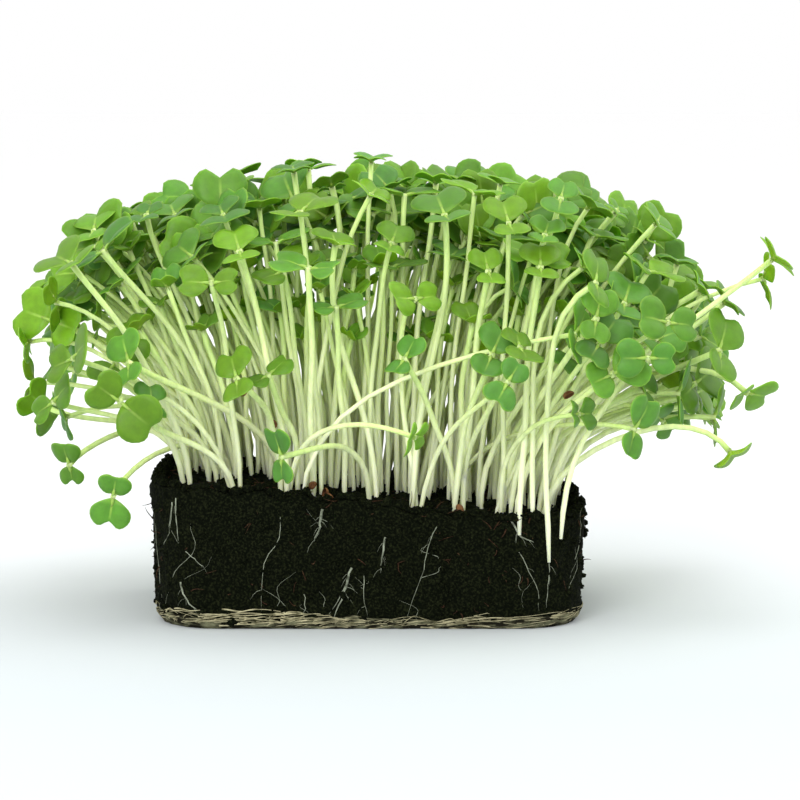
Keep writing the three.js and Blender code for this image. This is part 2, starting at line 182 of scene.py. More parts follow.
LEADING = (
    Wish(-74, 93, -40, 120, 1.2),
    Wish(-66, 96, -24, 20, 1.1),
    Wish(-55, 105, -10, 260, 0.75, lean=-8, nod=19),
    Wish(-48, 105, 8, 100, 1.1, nod=12),
    Wish(-76, 54, -14, 100, 0.8, lean=-110),
    Wish(-78, 83, -20, 60, 0.85, lean=-85, nod=-21),
    Wish(-74, 69, -44, 0, 1.1, lean=-70, nod=30),
    Wish(-85, 73, -8, 80, 0.81, lean=-105),
    Wish(-79, 58, -30, 20, 0.85, lean=-65, nod=40),
    Wish(-81, 57, -2, 60, 1.16, lean=-65, nod=-29),
    Wish(-62, 58, -52, 320, 1.1, lean=-40, nod=100),
    Wish(-54, 58, -34, 100, 0.72, lean=20, nod=30),
    Wish(91, 45, -30, 280, 0.95, lean=150, root=(48, -22)),
    Wish(-75, 42, -22, 100, 0.68, lean=-145, root=(-46, -18)),
    Wish(-64, 34, -38, 260, 0.88, lean=-170, root=(-44, -26)),
    Wish(-36, 105, -20, 280, 1.1, nod=15),
    Wish(-27, 107, -4, 100, 1.1),
    Wish(-32, 96, -38, 100, 0.98, nod=25),
    Wish(-39, 88, -46, 180, 0.83, nod=50),
    Wish(-9, 112, 2, 270, 0.8, lean=-17, nod=-16),
    Wish(1, 110, -22, 260, 0.94, lean=30, nod=10, root=(-13, -20)),
    Wish(6, 113, 12, 100, 0.9),
    Wish(-8, 98, -34, 100, 0.94, lean=13, nod=5),
    Wish(6, 98, -28, 80, 0.85, lean=17, nod=25),
    Wish(12, 84, -44, 200, 0.83, lean=45, nod=45),
    Wish(17, 113, -2, 80, 1),
    Wish(19, 105, -32, 100, 1.2, lean=-9, nod=20),
    Wish(30, 91, -40, 100, 0.75, nod=35),
    Wish(33, 113, 6, 100, 0.9),
    Wish(35, 103, -38, 100, 0.94, nod=30),
    Wish(48, 109, -26, 260, 0.83, nod=35),
    Wish(44, 100, -42, 80, 0.79, nod=20),
    Wish(55, 107, -8, 100, 1.1, lean=38),
    Wish(62, 106, 6, 260, 0.68, lean=40, nod=13),
    Wish(72, 103, -6, 260, 1.04, lean=45),
    Wish(70, 91, -22, 30, 1),
    Wish(84, 87, 10, 90, 0.9, lean=20),
    Wish(89, 83, -12, 80, 0.99, lean=50),
    Wish(101, 94, -24, 80, 1.1, lean=50, root=(42, -20)),
    Wish(57, 79, -50, 80, 0.83, nod=60),
    Wish(64, 83, -34, 80, 1.1, nod=25),
    Wish(75, 78, -46, 180, 0.94, nod=55),
    Wish(88, 71, -26, 80, 1.1, lean=60),
    Wish(70, 69, -52, 180, 0.83, nod=95),
    Wish(38, 72, -52, 280, 0.85, nod=20),
    Wish(35, 63, -56, 240, 0.75, nod=65),
    Wish(67, 51, -38, 60, 0.9, lean=100, root=(50, -28)),
    Wish(74, 53, -28, 120, 0.85, lean=140),
    Wish(95, 60, -24, 320, 0.94, lean=140, nod=31),
    Wish(-22, 44, -54, 100, 0.8, lean=-100, nod=40, root=(-4, -32)),
    Wish(12, 49, -54, 140, 0.75, lean=110, nod=20, root=(-18, -32)),
    Wish(9, 69, -50, 60, 0.7, nod=40),
    Wish(-33, 64, -52, 100, 0.89, lean=-40, nod=40, root=(-24, -30)),
    Wish(-60, 68, -36, 100, 0.9, lean=-50, nod=40),
)

# More seedlings of the front, which stand between the bunches.
BETWEEN = (
    Wish(-56, 90, 8, 40, 1),
    Wish(-62, 88, -10, 70, 1),
    Wish(-67, 78, 0, 30, 0.95, lean=-80),
    Wish(-84, 63, 10, 80, 0.9, lean=-90),
    Wish(-63, 68, -45, 60, 1, lean=20, nod=50),
    Wish(-21, 91, -30, 40, 1, nod=30),
    Wish(-23, 98, -15, 10, 1),
    Wish(-16, 98, -10, 60, 1),
    Wish(-12, 93, -25, 40, 1),
    Wish(-6, 84, -15, 60, 0.9),
    Wish(-8, 82, -38, 20, 0.8),
    Wish(6, 92, -20, 50, 1),
    Wish(12, 110, -5, 20, 1),
    Wish(25, 113, 5, 60, 0.9),
    Wish(38, 95, -30, 0, 1, nod=30),
    Wish(36, 87, -35, 70, 1.1, lean=70),
    Wish(56, 100, 0, 40, 1),
    Wish(50, 92, -15, 0, 1),
    Wish(77, 93, 5, 85, 0.95, lean=10),
    Wish(83, 86, -5, 60, 0.9, lean=60),
    Wish(99, 89, -18, 80, 0.9, lean=80, root=(44, -16)),
    Wish(58, 73, -42, 60, 1, nod=50),
    Wish(58, 65, -40, 30, 1, nod=60),
    Wish(31, 70, -45, 70, 0.9, nod=50),
    Wish(53, 55, -48, 10, 0.7, lean=80),
    Wish(87, 54, -20, 70, 0.9, lean=95),
    Wish(69, 62, -42, 85, 1, lean=60),
    Wish(78, 60, -20, 50, 1, lean=95),
    Wish(-25, 65, -45, 40, 0.7, nod=30),
    Wish(48, 70, -30, 60, 0.9, nod=40),
    Wish(52, 75, -48, 60, 1, lean=80, nod=20, root=(-17, -30)),
    Wish(57, 88, -54, 90, 0.85, lean=60, nod=30, root=(45.5, -35.5), sunk=10),
    Wish(54, 92, -30, 90, 0.85, lean=60, nod=0, root=(41.5, -35.0), sunk=3.5),
    Wish(72, 74, -30, 40, 0.9, nod=30, root=(48.5, -34.6), sunk=4.5),
    Wish(40, 92, -30, 90, 0.9, nod=30, root=(38, -35.8), sunk=4),
)


def seen_at(points: np.ndarray) -> np.ndarray:
    """Return where points show from the eye, as across and height on the front plane."""
    share = (FRONT_PLANE - EYE[1]) / (points[:, 1:2] - EYE[1])
    shown = EYE + (points - EYE) * share
    return shown[:, (0, 2)]


@dataclass(frozen=True)
class Habit:
    """How the seedlings grow, in millimetres and degrees, as the solids have it."""

    bunches_across: int = 9
    bunches_back: int = 4
    inset: float = 8.0
    per_bunch: int = 3
    slot_radius: float = 1.25
    crown_top: float = 1.0
    stem_sunk: float = 3.5
    shortest: float = 62.0
    longest: float = 86.0
    leaf_width: float = 12.0
    leaf_length: float = 10.4
    petiole: float = 2.6
    petiole_width: float = 1.0
    fold: float = 0.24
    droop: float = 0.022
    opening: float = 66.0
    small: float = 0.82
    sunk: float = 1.1
    fan_side: float = 38.0
    fan_front: float = 26.0
    fan_reach: float = 48.0


HABIT = Habit()


@dataclass
class LeafPlace:
    """One seed leaf's own axes, foot and size. Its upper side looks along face."""

    across: np.ndarray
    along: np.ndarray
    face: np.ndarray
    foot: np.ndarray
    size: float

    def world(self, point: tuple[float, float, float]) -> np.ndarray:
        """Return a point of the leaf's own axes in the block's axes."""
        x, y, z = point
        return self.foot + x * self.across + y * self.along + z * self.face

    def middle(self) -> np.ndarray:
        """Return the middle of the leaf's blade."""
        return self.world((0.0, 0.6 * HABIT.leaf_length * self.size, 0.0))


@dataclass
class Seedling:
    """One seedling: its stem's path and the stance of its two leaves.

    The stem is a curve of four controls: it rises from the root, and comes to the tip along end.
    """

    LEAST_REACH = 60.0
    RISE, RUN_IN = 0.38, 0.3

    root: np.ndarray
    tip: np.ndarray
    end: np.ndarray
    turn: float
    size: float
    opening: float = HABIT.opening
    bow: tuple[float, float] = (0.0, 0.0)

    def __post_init__(self) -> None:
        """Work out the stem's path, which its bow pushes aside at a third and at two thirds."""
        reach = max(float(np.linalg.norm(self.tip - self.root)), self.LEAST_REACH)
        aside = np.array((*self.bow, 0.0))
        rise = self.root + UP * (self.RISE * reach) + aside
        before = self.tip - self.end * (self.RUN_IN * reach) - 0.4 * aside
        self.controls = (self.root, rise, before, self.tip)

    def points(self, shares: np.ndarray) -> np.ndarray:
        """Return the stem's points at shares of its way, one row each."""
        t = shares[:, None]
        k = 1 - t
        first, second, third, last = self.controls
        return k**3 * first + 3 * k * k * t * second + 3 * k * t * t * third + t**3 * last

    def length(self) -> float:
        """Return the stem's length, measured in 200 short steps."""
        points = self.points(np.arange(201) / 200)
        return float(np.linalg.norm(np.diff(points, axis=0), axis=1).sum())

    def leaves(self) -> list[LeafPlace]:
        """Return the places of the two seed leaves, the larger first."""
        side = np.array((1.0, 0.0, 0.0)) - self.end * self.end[0]
        if np.linalg.norm(side) < 0.2:
            side = np.array((0.0, 1.0, 0.0)) - self.end * self.end[1]
        side = side / np.linalg.norm(side)
        angle = math.radians(self.turn)
        side = side * math.cos(angle) + np.cross(self.end, side) * math.sin(angle)
        opening = math.radians(self.opening)
        places = []
        for way in (1, -1):
            along = self.end * math.cos(opening) + side * (way * math.sin(opening))
            face = self.end * math.sin(opening) - side * (way * math.cos(opening))
            foot = self.tip - self.end * HABIT.sunk
            size = self.size * (1 if way > 0 else HABIT.small)
            places.append(LeafPlace(np.cross(along, face), along, face, foot, size))
        return places


def leaf_height(across: float, along: float, size: float) -> float:
    """Return how far the solids' leaf stands above its own flat plane at a place."""
    lift = HABIT.fold * max(0.0, abs(across) - HABIT.petiole_width / 2)
    return lift - HABIT.droop * along * along / size


@dataclass
class Balls:
    """Balls that stand for a seedling when room is looked for.

    The stem's first few balls are left out, and those up to LOW count as its foot.
    """

    at: np.ndarray
    radius: np.ndarray
    low: np.ndarray

    STEM_RADIUS = 1.4
    SPACING = 2.6
    FIRST = 4
    LOW = 10
    LEAF_RADIUS = 1.8
    BESIDE = 3.0
    LOWEST = 8.0
    LEAF_AT = ((0.0, 0.3), (0.0, 0.62), (0.6, 0.5), (0.65, 0.8))

    @classmethod
    def around(cls, seedling: Seedling, scale: tuple[float, float]) -> "Balls":
        """Put balls along a seedling's stem and over its leaves.

        Args:
            seedling: The seedling.
            scale: What the radii of the stem's and of the leaves' balls are multiplied by.

        Returns:
            The balls.
        """
        count = math.ceil(seedling.length() / cls.SPACING)
        steps = np.arange(cls.FIRST, count + 1)
        at = [seedling.points(steps / count)]
        for place in seedling.leaves():
            for x, y in cls.LEAF_AT:
                for side in (1, -1) if x else (1,):
                    across = side * x * place.size * HABIT.leaf_width / 2
                    along = y * place.size * HABIT.leaf_length
                    point = (across, along, leaf_height(across, along, place.size))
                    at.append(place.world(point)[None, :])
        leaf_count = len(at) - 1
        stem_radius, leaf_radius = cls.STEM_RADIUS * scale[0], cls.LEAF_RADIUS * scale[1]
        radius = np.array([stem_radius] * len(steps) + [leaf_radius] * leaf_count)
        low = np.concatenate((steps < cls.LOW, np.zeros(leaf_count, bool)))
        return cls(np.concatenate(at), radius, low)

    def above_ground(self) -> bool:
        """Return whether no ball dips back into the block or comes near the ground."""
        beside = np.abs(self.at[:, 0]) > BLOCK.width / 2 + self.BESIDE
        beside |= np.abs(self.at[:, 1]) > BLOCK.depth / 2 + self.BESIDE
        over = self.at[:, 2] > BLOCK.height + BLOCK.fall + self.BESIDE
        return bool(np.all((self.at[:, 2] > self.LOWEST) & (self.low | beside | over)))


class Room:
    """The balls of all that is planted, and whether new balls keep clear of them."""

    MOST = 60000

    def __init__(self) -> None:
        """Start with nothing planted."""
        self.count = 0
        self.at = np.zeros((self.MOST, 3))
        self.radius = np.zeros(self.MOST)
        self.low = np.zeros(self.MOST, bool)
        self.bunch = np.zeros(self.MOST, int)

    def add(self, balls: Balls, bunch: int) -> None:
        """Note the balls of a planted seedling and the number of its bunch."""
        new = slice(self.count, self.count + len(balls.at))
        self.at[new] = balls.at
        self.radius[new] = balls.radius
        self.low[new] = balls.low
        self.bunch[new] = bunch
        self.count = new.stop

    def is_free(self, balls: Balls, bunch: int) -> bool:
        """Return whether balls keep clear of the others, but for the foot of their own bunch."""
        reach = 2 * Balls.LEAF_RADIUS
        there = self.at[:self.count]
        inside = (there > balls.at.min(axis=0) - reach) & (there < balls.at.max(axis=0) + reach)
        near = np.flatnonzero(inside.all(axis=1))
        gaps = np.linalg.norm(balls.at[:, None, :] - there[None, near, :], axis=2)
        touching = gaps < balls.radius[:, None] + self.radius[None, near]
        foot = self.low[None, near] | balls.low[:, None]
        own_foot = foot & (self.bunch[None, near] == bunch)
        return not bool(np.any(touching & ~own_foot))


@dataclass
class Bunch:
    """Seedlings that share one plug of roots."""

    centre: np.ndarray
    phase: float
    seedlings: list[Seedling] = field(default_factory=list)

    def slot(self, number: int) -> np.ndarray:
        """Return where the stem of that number starts in the plug."""
        angle = 2 * math.pi * (self.phase + number / HABIT.per_bunch)
        x = self.centre[0] + HABIT.slot_radius * math.cos(angle)
        y = self.centre[1] + HABIT.slot_radius * math.sin(angle)
        top = BLOCK.soil_top(self.centre[0], self.centre[1])
        return np.array((x, y, top - HABIT.crown_top - HABIT.stem_sunk))


def end_direction(root: np.ndarray, tip: np.ndarray, wish: Wish | None) -> np.ndarray:
    """Work out the stem end's direction, which leans further out than the whole stem.

    Args:
        root: Where the stem starts.
        tip: Where its leaves stand.
        wish: What may say the direction instead.

    Returns:
        The direction, 1 long.
    """
    chord = tip - root
    right = math.atan2(1.5 * chord[0], chord[2])
    front = math.atan2(-1.4 * chord[1], abs(chord[2]) + 20)
    if wish and wish.lean is not None:
        right = math.radians(wish.lean)
    if wish and wish.nod is not None:
        front = math.radians(wish.nod)
    return np.array((
        math.sin(right) * math.cos(front),
        -math.sin(front),
        math.cos(right) * math.cos(front),
    ))


@dataclass(frozen=True)
class Growth:
    """The ranges that drawn seedlings are drawn from, in millimetres and degrees.

    across and back are where they root, fan_side and fan_front how much of the stand's fan they
    follow, and stray how far they leave it. middle_lean is how far the ones near middle_at, and
    within about middle_reach of it, lean to the right.
    """

    across: tuple[float, float]
    back: tuple[float, float]
    fan_side: tuple[float, float]
    fan_front: tuple[float, float]
    stray: tuple[float, float]
    height: tuple[float, float]
    turn: tuple[float, float]
    size: tuple[float, float]
    opening: tuple[float, float]
    bow: tuple[float, float]
    middle_lean: float = 0.0
    middle_at: float = 6.0
    middle_reach: float = 26.0

    def root(self, run: RandomRun) -> tuple[float, float]:
        """Draw where a seedling roots, as across and back from -1 to 1."""
        return run.between(*self.across), run.between(*self.back)


COMBED = Growth(
    across=(-0.95, 0.95), back=(-0.95, 0.97), fan_side=(0.6, 1.3), fan_front=(0.4, 1.15),
    stray=(10, 9), height=(66, 90), turn=(15, 165), size=(0.92, 1.25), opening=(36, 72),
    bow=(8, 5), middle_lean=16.0,
)
LOW = Growth(
    across=(-0.85, 0.85), back=(-0.45, 0.9), fan_side=(0.3, 0.3), fan_front=(0.3, 0.3),
    stray=(9, 9), height=(38, 62), turn=(0, 180), size=(0.55, 0.8), opening=(20, 50), bow=(4, 4),
)


@dataclass
class Stand:
    """The whole stand of seedlings: the solids' bunches, and the seedlings between them.

    box holds the least and greatest corner of the solids in millimetres, which the seedlings
    between the bunches keep within. steps and aside are the moves in depth and across that are
    tried for a wanted seedling. The front's hollow is the oval, as seen from the eye, where no
    drawn seedling has its leaves.
    """

    box: tuple
    bunches: list[Bunch] = field(init=False)
    room: Room = field(default_factory=Room)
    between: list[Seedling] = field(default_factory=list)
    steps: tuple = (0, 3, -3, 6, -6, 9, -9, 12, -12, 15, 18)
    tries: int = 60
    first_between_seed: int = 9000
    attempts: int = 8000
    first_low_seed: int = 30000
    low_attempts: int = 420
    crowded: tuple = (0.42, 0.2)
    dome_top: float = 118.0
    dome_fall: float = 20.0
    dome_half: float = 90.0
    aside: tuple = ((0, 0), (3, 0), (-3, 0), (0, 3), (0, -3), (6, 0), (-6, 0), (0, 6), (0, -6))
    crown_left: float = -80.0
    crown_right: float = 84.0
    front_leaves: float = 10.0
    view_room: float = 7.0
    hollow_at: tuple = (-18.0, 34.0)
    hollow_half: tuple = (46.0, 54.0)
    bare_front_left: float = -0.82
    bare_left: float = -0.3
    wanted_scale: tuple = (0.6, 0.4)

    def __post_init__(self) -> None:
        """Lay out the bunches and plant them by the solids' rule."""
        self.bunches = self._lay_out()
        self._plant_leading()
        self._plant_the_rest()

    def _lay_out(self) -> list[Bunch]:
        """Return the bunches in rows and columns over the block, each a little astray."""
        run = RandomRun(41)
        bunches = []
        for row in range(HABIT.bunches_back):
            for column in range(HABIT.bunches_across):
                across = (column + 0.5 + 0.35 * (run.draw() - 0.5)) / HABIT.bunches_across
                back = (row + 0.5 + 0.3 * (run.draw() - 0.5)) / HABIT.bunches_back
                plan = BLOCK.plan_point(2 * across - 1, 2 * back - 1, BLOCK.height)
                keep = 1 - HABIT.inset / BLOCK.width
                bunches.append(Bunch(plan * keep, run.draw()))
        return bunches

    def _plant(self, seedling: Seedling, bunch: int, scale: tuple = (1.0, 1.0)) -> bool:
        """Plant a seedling where there is room for it.

        Args:
            seedling: The seedling.
            bunch: The number of its bunch, or -1 for none.
            scale: What the radii of its stem's and leaves' balls are multiplied by.

        Returns:
            Whether it was planted.
        """
        balls = Balls.around(seedling, scale)
        if bunch < 0 and not self._inside(balls):
            return False
        if not balls.above_ground() or not self.room.is_free(balls, bunch):
            return False
        self.room.add(balls, bunch)
        if bunch >= 0:
            self.bunches[bunch].seedlings.append(seedling)
        else:
            self.between.append(seedling)
        return True

    def _inside(self, balls: Balls) -> bool:
        """Return whether balls stay within the solids' own box and under the stand's dome."""
        low, high = self.box
        if np.any((balls.at < low) | (balls.at > high)):
            return False
        return all(height < self.dome(across) for across, height in seen_at(balls.at))

    @staticmethod
    def _root_under(tip: np.ndarray) -> np.ndarray:
        """Return where the stem of a leaf joint that stands out so far leaves the compost."""
        return np.array((tip[0] * (0.8 - 0.003 * abs(tip[0])), tip[1] * 0.58))

    def _try_leading(self, wish: Wish, step: float) -> bool:
        """Plant a leading seedling at a step in depth, in a near bunch with a place left."""
        tip = wish.tip(step)
        root = np.array(wish.root) if wish.root else self._root_under(tip)
        free = [i for i, b in enumerate(self.bunches) if len(b.seedlings) < HABIT.per_bunch]
        free.sort(key=lambda i: float(np.linalg.norm(self.bunches[i].centre - root)))
        for index in free[:3]:
            bunch = self.bunches[index]
            start = bunch.slot(len(bunch.seedlings))
            end = end_direction(start, tip, wish)
            if self._plant(Seedling(start, tip, end, wish.turn, wish.size), index):
                return True
        return False

    def _plant_leading(self) -> None:
        """Plant the leading seedlings, each moved in depth until it is clear."""
        for wish in LEADING:
            any(self._try_leading(wish, step) for step in self.steps)

    def _drawn(self, centre: np.ndarray, start: np.ndarray, run: RandomRun) -> Seedling:
        """Draw a seedling that fans out from its place, the more the nearer it is to the edge.

        Args:
            centre: The middle of its bunch.
            start: Where its stem starts.
            run: The run of numbers that it is drawn from.

        Returns:
            The seedling, which is the same one as in the solids.
        """
        side = (centre[0] / (BLOCK.width / 2)) * (0.25 + 0.85 * run.draw())
        front = (centre[1] / (BLOCK.depth / 2)) * (0.25 + 0.95 * run.draw())
        out_x = HABIT.fan_side * side + 12 * (run.draw() - 0.5)
        out_y = HABIT.fan_front * front + 12 * (run.draw() - 0.5)
        share = run.draw()
        length = (1 - share) * HABIT.shortest + share * HABIT.longest
        outward = min(0.97, math.hypot(out_x, out_y) / HABIT.fan_reach)
        rise = length * math.sqrt(1 - outward * outward)
        x, y = centre
        tip = np.array((x + out_x, y + out_y, BLOCK.soil_top(x, y) + rise))
        turn = 180 * run.draw()
        size = 0.85 + 0.3 * run.draw()
        return Seedling(start, tip, end_direction(start, tip, None), turn, size)

    def _plant_the_rest(self) -> None:
        """Fill every bunch with drawn seedlings that find room."""
        for index, bunch in enumerate(self.bunches):
            for attempt in range(self.tries):
                number = len(bunch.seedlings)
                if number == HABIT.per_bunch:
                    break
                run = RandomRun(1 + self.tries * index + attempt)
                self._plant(self._drawn(bunch.centre, bunch.slot(number), run), index)

    def fill_between(self, wanted: int) -> None:
        """Plant seedlings between the bunches: first the front's own, then drawn ones.

        Args:
            wanted: How many to try to reach.
        """
        for wish in BETWEEN:
            tries = itertools.product(self.aside, self.steps)
            if not any(self._try_between(wish, aside, step) for aside, step in tries):
                LOG.info("no room for the seedling at %d, %d", wish.across, wish.height)
        shown = [seedling for bunch in self.bunches for seedling in bunch.seedlings]
        shown = [s for s in shown + self.between if s.tip[1] < self.front_leaves]
        centres = np.array([place.middle() for s in shown for place in s.leaves()])
        for attempt in range(self.attempts):
            if len(self.between) >= wanted:
                break
            seedling = self._combed(RandomRun(self.first_between_seed + attempt))
            if self._lies_well(seedling, centres):
                self._plant(seedling, -1, self.crowded)
        for attempt in range(self.low_attempts):
            self._plant(self._low_one(RandomRun(self.first_low_seed + attempt)), -1, self.crowded)

    def _try_between(self, wish: Wish, aside: tuple, step: float) -> bool:
        """Plant a seedling of the front that is wanted between the bunches."""
        tip = wish.tip(step) + np.array((aside[0], 0.0, aside[1]))
        root = np.array(wish.root) if wish.root else self._root_under(tip)
        start = np.array((*root, BLOCK.soil_top(*root) - wish.sunk))
        end = end_direction(start, tip, wish)
        seedling = Seedling(start, tip, end, wish.turn, wish.size)
        return self._plant(seedling, -1, self.wanted_scale)

    def _lies_well(self, seedling: Seedling, centres: np.ndarray) -> bool:
        """Return whether a drawn seedling's leaves lie in the crown and hide no leaves behind.

        Args:
            seedling: The seedling.
            centres: The middles of the leaves that show at the front.

        Returns:
            Whether it may be planted.
        """
        across, height = seen_at(seedling.tip[None, :])[0]
        if height > self.dome(across) - 1 or not self.crown_left < across < self.crown_right:
            return False
        hollow_x = (across - self.hollow_at[0]) / self.hollow_half[0]
        hollow_z = (height - self.hollow_at[1]) / self.hollow_half[1]
        if seedling.tip[1] < self.front_leaves and hollow_x**2 + hollow_z**2 < 1:
            return False
        own = np.array([place.middle() for place in seedling.leaves()])
        gaps = np.linalg.norm(seen_at(own)[:, None, :] - seen_at(centres)[None, :, :], axis=2)
        before = own[:, None, 1] < centres[None, :, 1]
        return not bool(np.any(before & (gaps < self.view_room)))

    def dome(self, across: float) -> float:
        """Return how high the crown reaches at a place across it, as seen from the eye."""
        return self.dome_top - self.dome_fall * abs((across - EYE[0]) / self.dome_half)**3

    def _combed(self, run: RandomRun) -> Seedling:
        """Draw a seedling that follows its neighbours and turns its leaves to the front's light.

        Args:
            run: The run of numbers that it is drawn from.

        Returns:
            The seedling.
        """
        across, back = COMBED.root(run)
        back = max(back, self.bare_front_left) if across < self.bare_left else back
        x, y = BLOCK.plan_point(across, back, BLOCK.height)
        soil = BLOCK.soil_top(x, y)
        start = np.array((x, y, soil - HABIT.stem_sunk))
        out_x = HABIT.fan_side * x / (BLOCK.width / 2) * run.between(*COMBED.fan_side)
        out_y = HABIT.fan_front * y / (BLOCK.depth / 2) * run.between(*COMBED.fan_front)
        stray_x, stray_y = (run.between(-far, far) for far in COMBED.stray)
        out_x, out_y = out_x + stray_x, out_y + stray_y
        near_middle = math.exp(-((x - COMBED.middle_at) / COMBED.middle_reach)**2)
        out_x += run.between(0, COMBED.middle_lean) * near_middle
        outward = min(0.96, math.hypot(out_x, out_y) / HABIT.fan_reach)
        rise = run.between(*COMBED.height) * math.sqrt(1 - outward * outward)
        tip = np.array((x + out_x, y + out_y, soil + rise))
        to_right = run.between(-0.5, 0.5) + 0.012 * max(0.0, x)
        to_front = run.between(-1.7, -0.1)
        end = end_direction(start, tip, None) + np.array((to_right, to_front, 0))
        end = end / np.linalg.norm(end)
        turn, size = run.between(*COMBED.turn), run.between(*COMBED.size)
        bow = tuple(run.between(-far, far) for far in COMBED.bow)
        return Seedling(start, tip, end, turn, size, run.between(*COMBED.opening), bow)

    @staticmethod
    def _low_one(run: RandomRun) -> Seedling:
        """Draw one of the small, late seedlings that stay under the crown, behind the front."""
        x, y = BLOCK.plan_point(*LOW.root(run), BLOCK.height)
        soil = BLOCK.soil_top(x, y)
        start = np.array((x, y, soil - HABIT.stem_sunk))
        stray_x, stray_y = (run.between(-far, far) for far in LOW.stray)
        tip_x = x + (LOW.fan_side[0] * x + stray_x)
        tip_y = y + (LOW.fan_front[0] * y + stray_y)
        tip = np.array((tip_x, tip_y, soil + run.between(*LOW.height)))
        end = end_direction(start, tip, None)
        bow = tuple(run.between(-far, far) for far in LOW.bow)
        turn, size = run.between(*LOW.turn), run.between(*LOW.size)
        return Seedling(start, tip, end, turn, size, run.between(*LOW.opening), bow)

    def columns(self) -> list[list[Seedling]]:
        """Return the seedlings between the bunches, sorted from left to right into columns."""
        by_place = sorted(self.between, key=lambda seedling: float(seedling.root[0]))
        size = math.ceil(len(by_place) / HABIT.bunches_across)
        return [by_place[i:i + size] for i in range(0, len(by_place), size)]


class Detail(Enum):
    """How finely a seedling is divided: its blades across and along, its stem round and along."""

    CLOSE = (8, 6, 7, 13)
    PLAIN = (6, 5, 6, 10)


def attribute_layers(mesh: bmesh.types.BMesh) -> tuple:
    """Return the layers for a vertex's place on its leaf or stem and for its seedling's tone."""
    floats = mesh.verts.layers.float_vector
    colours = mesh.verts.layers.float_color
    place = floats.get("place") or floats.new("place")
    tone = colours.get("tone") or colours.new("tone")
    return place, tone


def object_from(name: str, mesh: bmesh.types.BMesh, materials: list) -> bpy.types.Object:
    """Turn a finished bmesh into a piece that rides on the part.

    Args:
        name: The piece's name.
        mesh: The bmesh, in metres, which is freed.
        materials: The piece's materials.

    Returns:
        The new object.
    """
    data = bpy.data.meshes.new(name)
    mesh.to_mesh(data)
    mesh.free()
    piece = bpy.data.objects.new(name, data)
    bpy.context.scene.collection.objects.link(piece)
    for material in materials:
        data.materials.append(material)
    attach(piece, BODY)
    return piece


class Stamps:
    """Copies of small shapes, gathered in one mesh and then moved into place in one pass."""

    def __init__(self) -> None:
        """Start with an empty mesh."""
        self.mesh = bmesh.new()
        self.movers: list[tuple[int, Callable, tuple]] = []

    def add(self, shape: bpy.types.Mesh, mover: Callable, tone: tuple) -> None:
        """Add a copy of a shape.

        Args:
            shape: The shape.
            mover: Turns a point of the shape into its spot in millimetres and its place, the
                three numbers that tell the materials where on the shape it lies.
            tone: The copy's own colouring.
        """
        self.mesh.from_mesh(shape)
        self.movers.append((len(shape.vertices), mover, tone))

    def settle(self) -> bmesh.types.BMesh:
        """Move every copy's vertices into place, in the order in which they were added."""
        place_layer, tone_layer = attribute_layers(self.mesh)
        vertices = iter(self.mesh.verts)
        for count, mover, tone in self.movers:
            for vertex in itertools.islice(vertices, count):
                spot, place = mover(vertex.co)
                vertex.co = Vector(spot) * MM
                vertex[place_layer] = place
                vertex[tone_layer] = tone
        return self.mesh


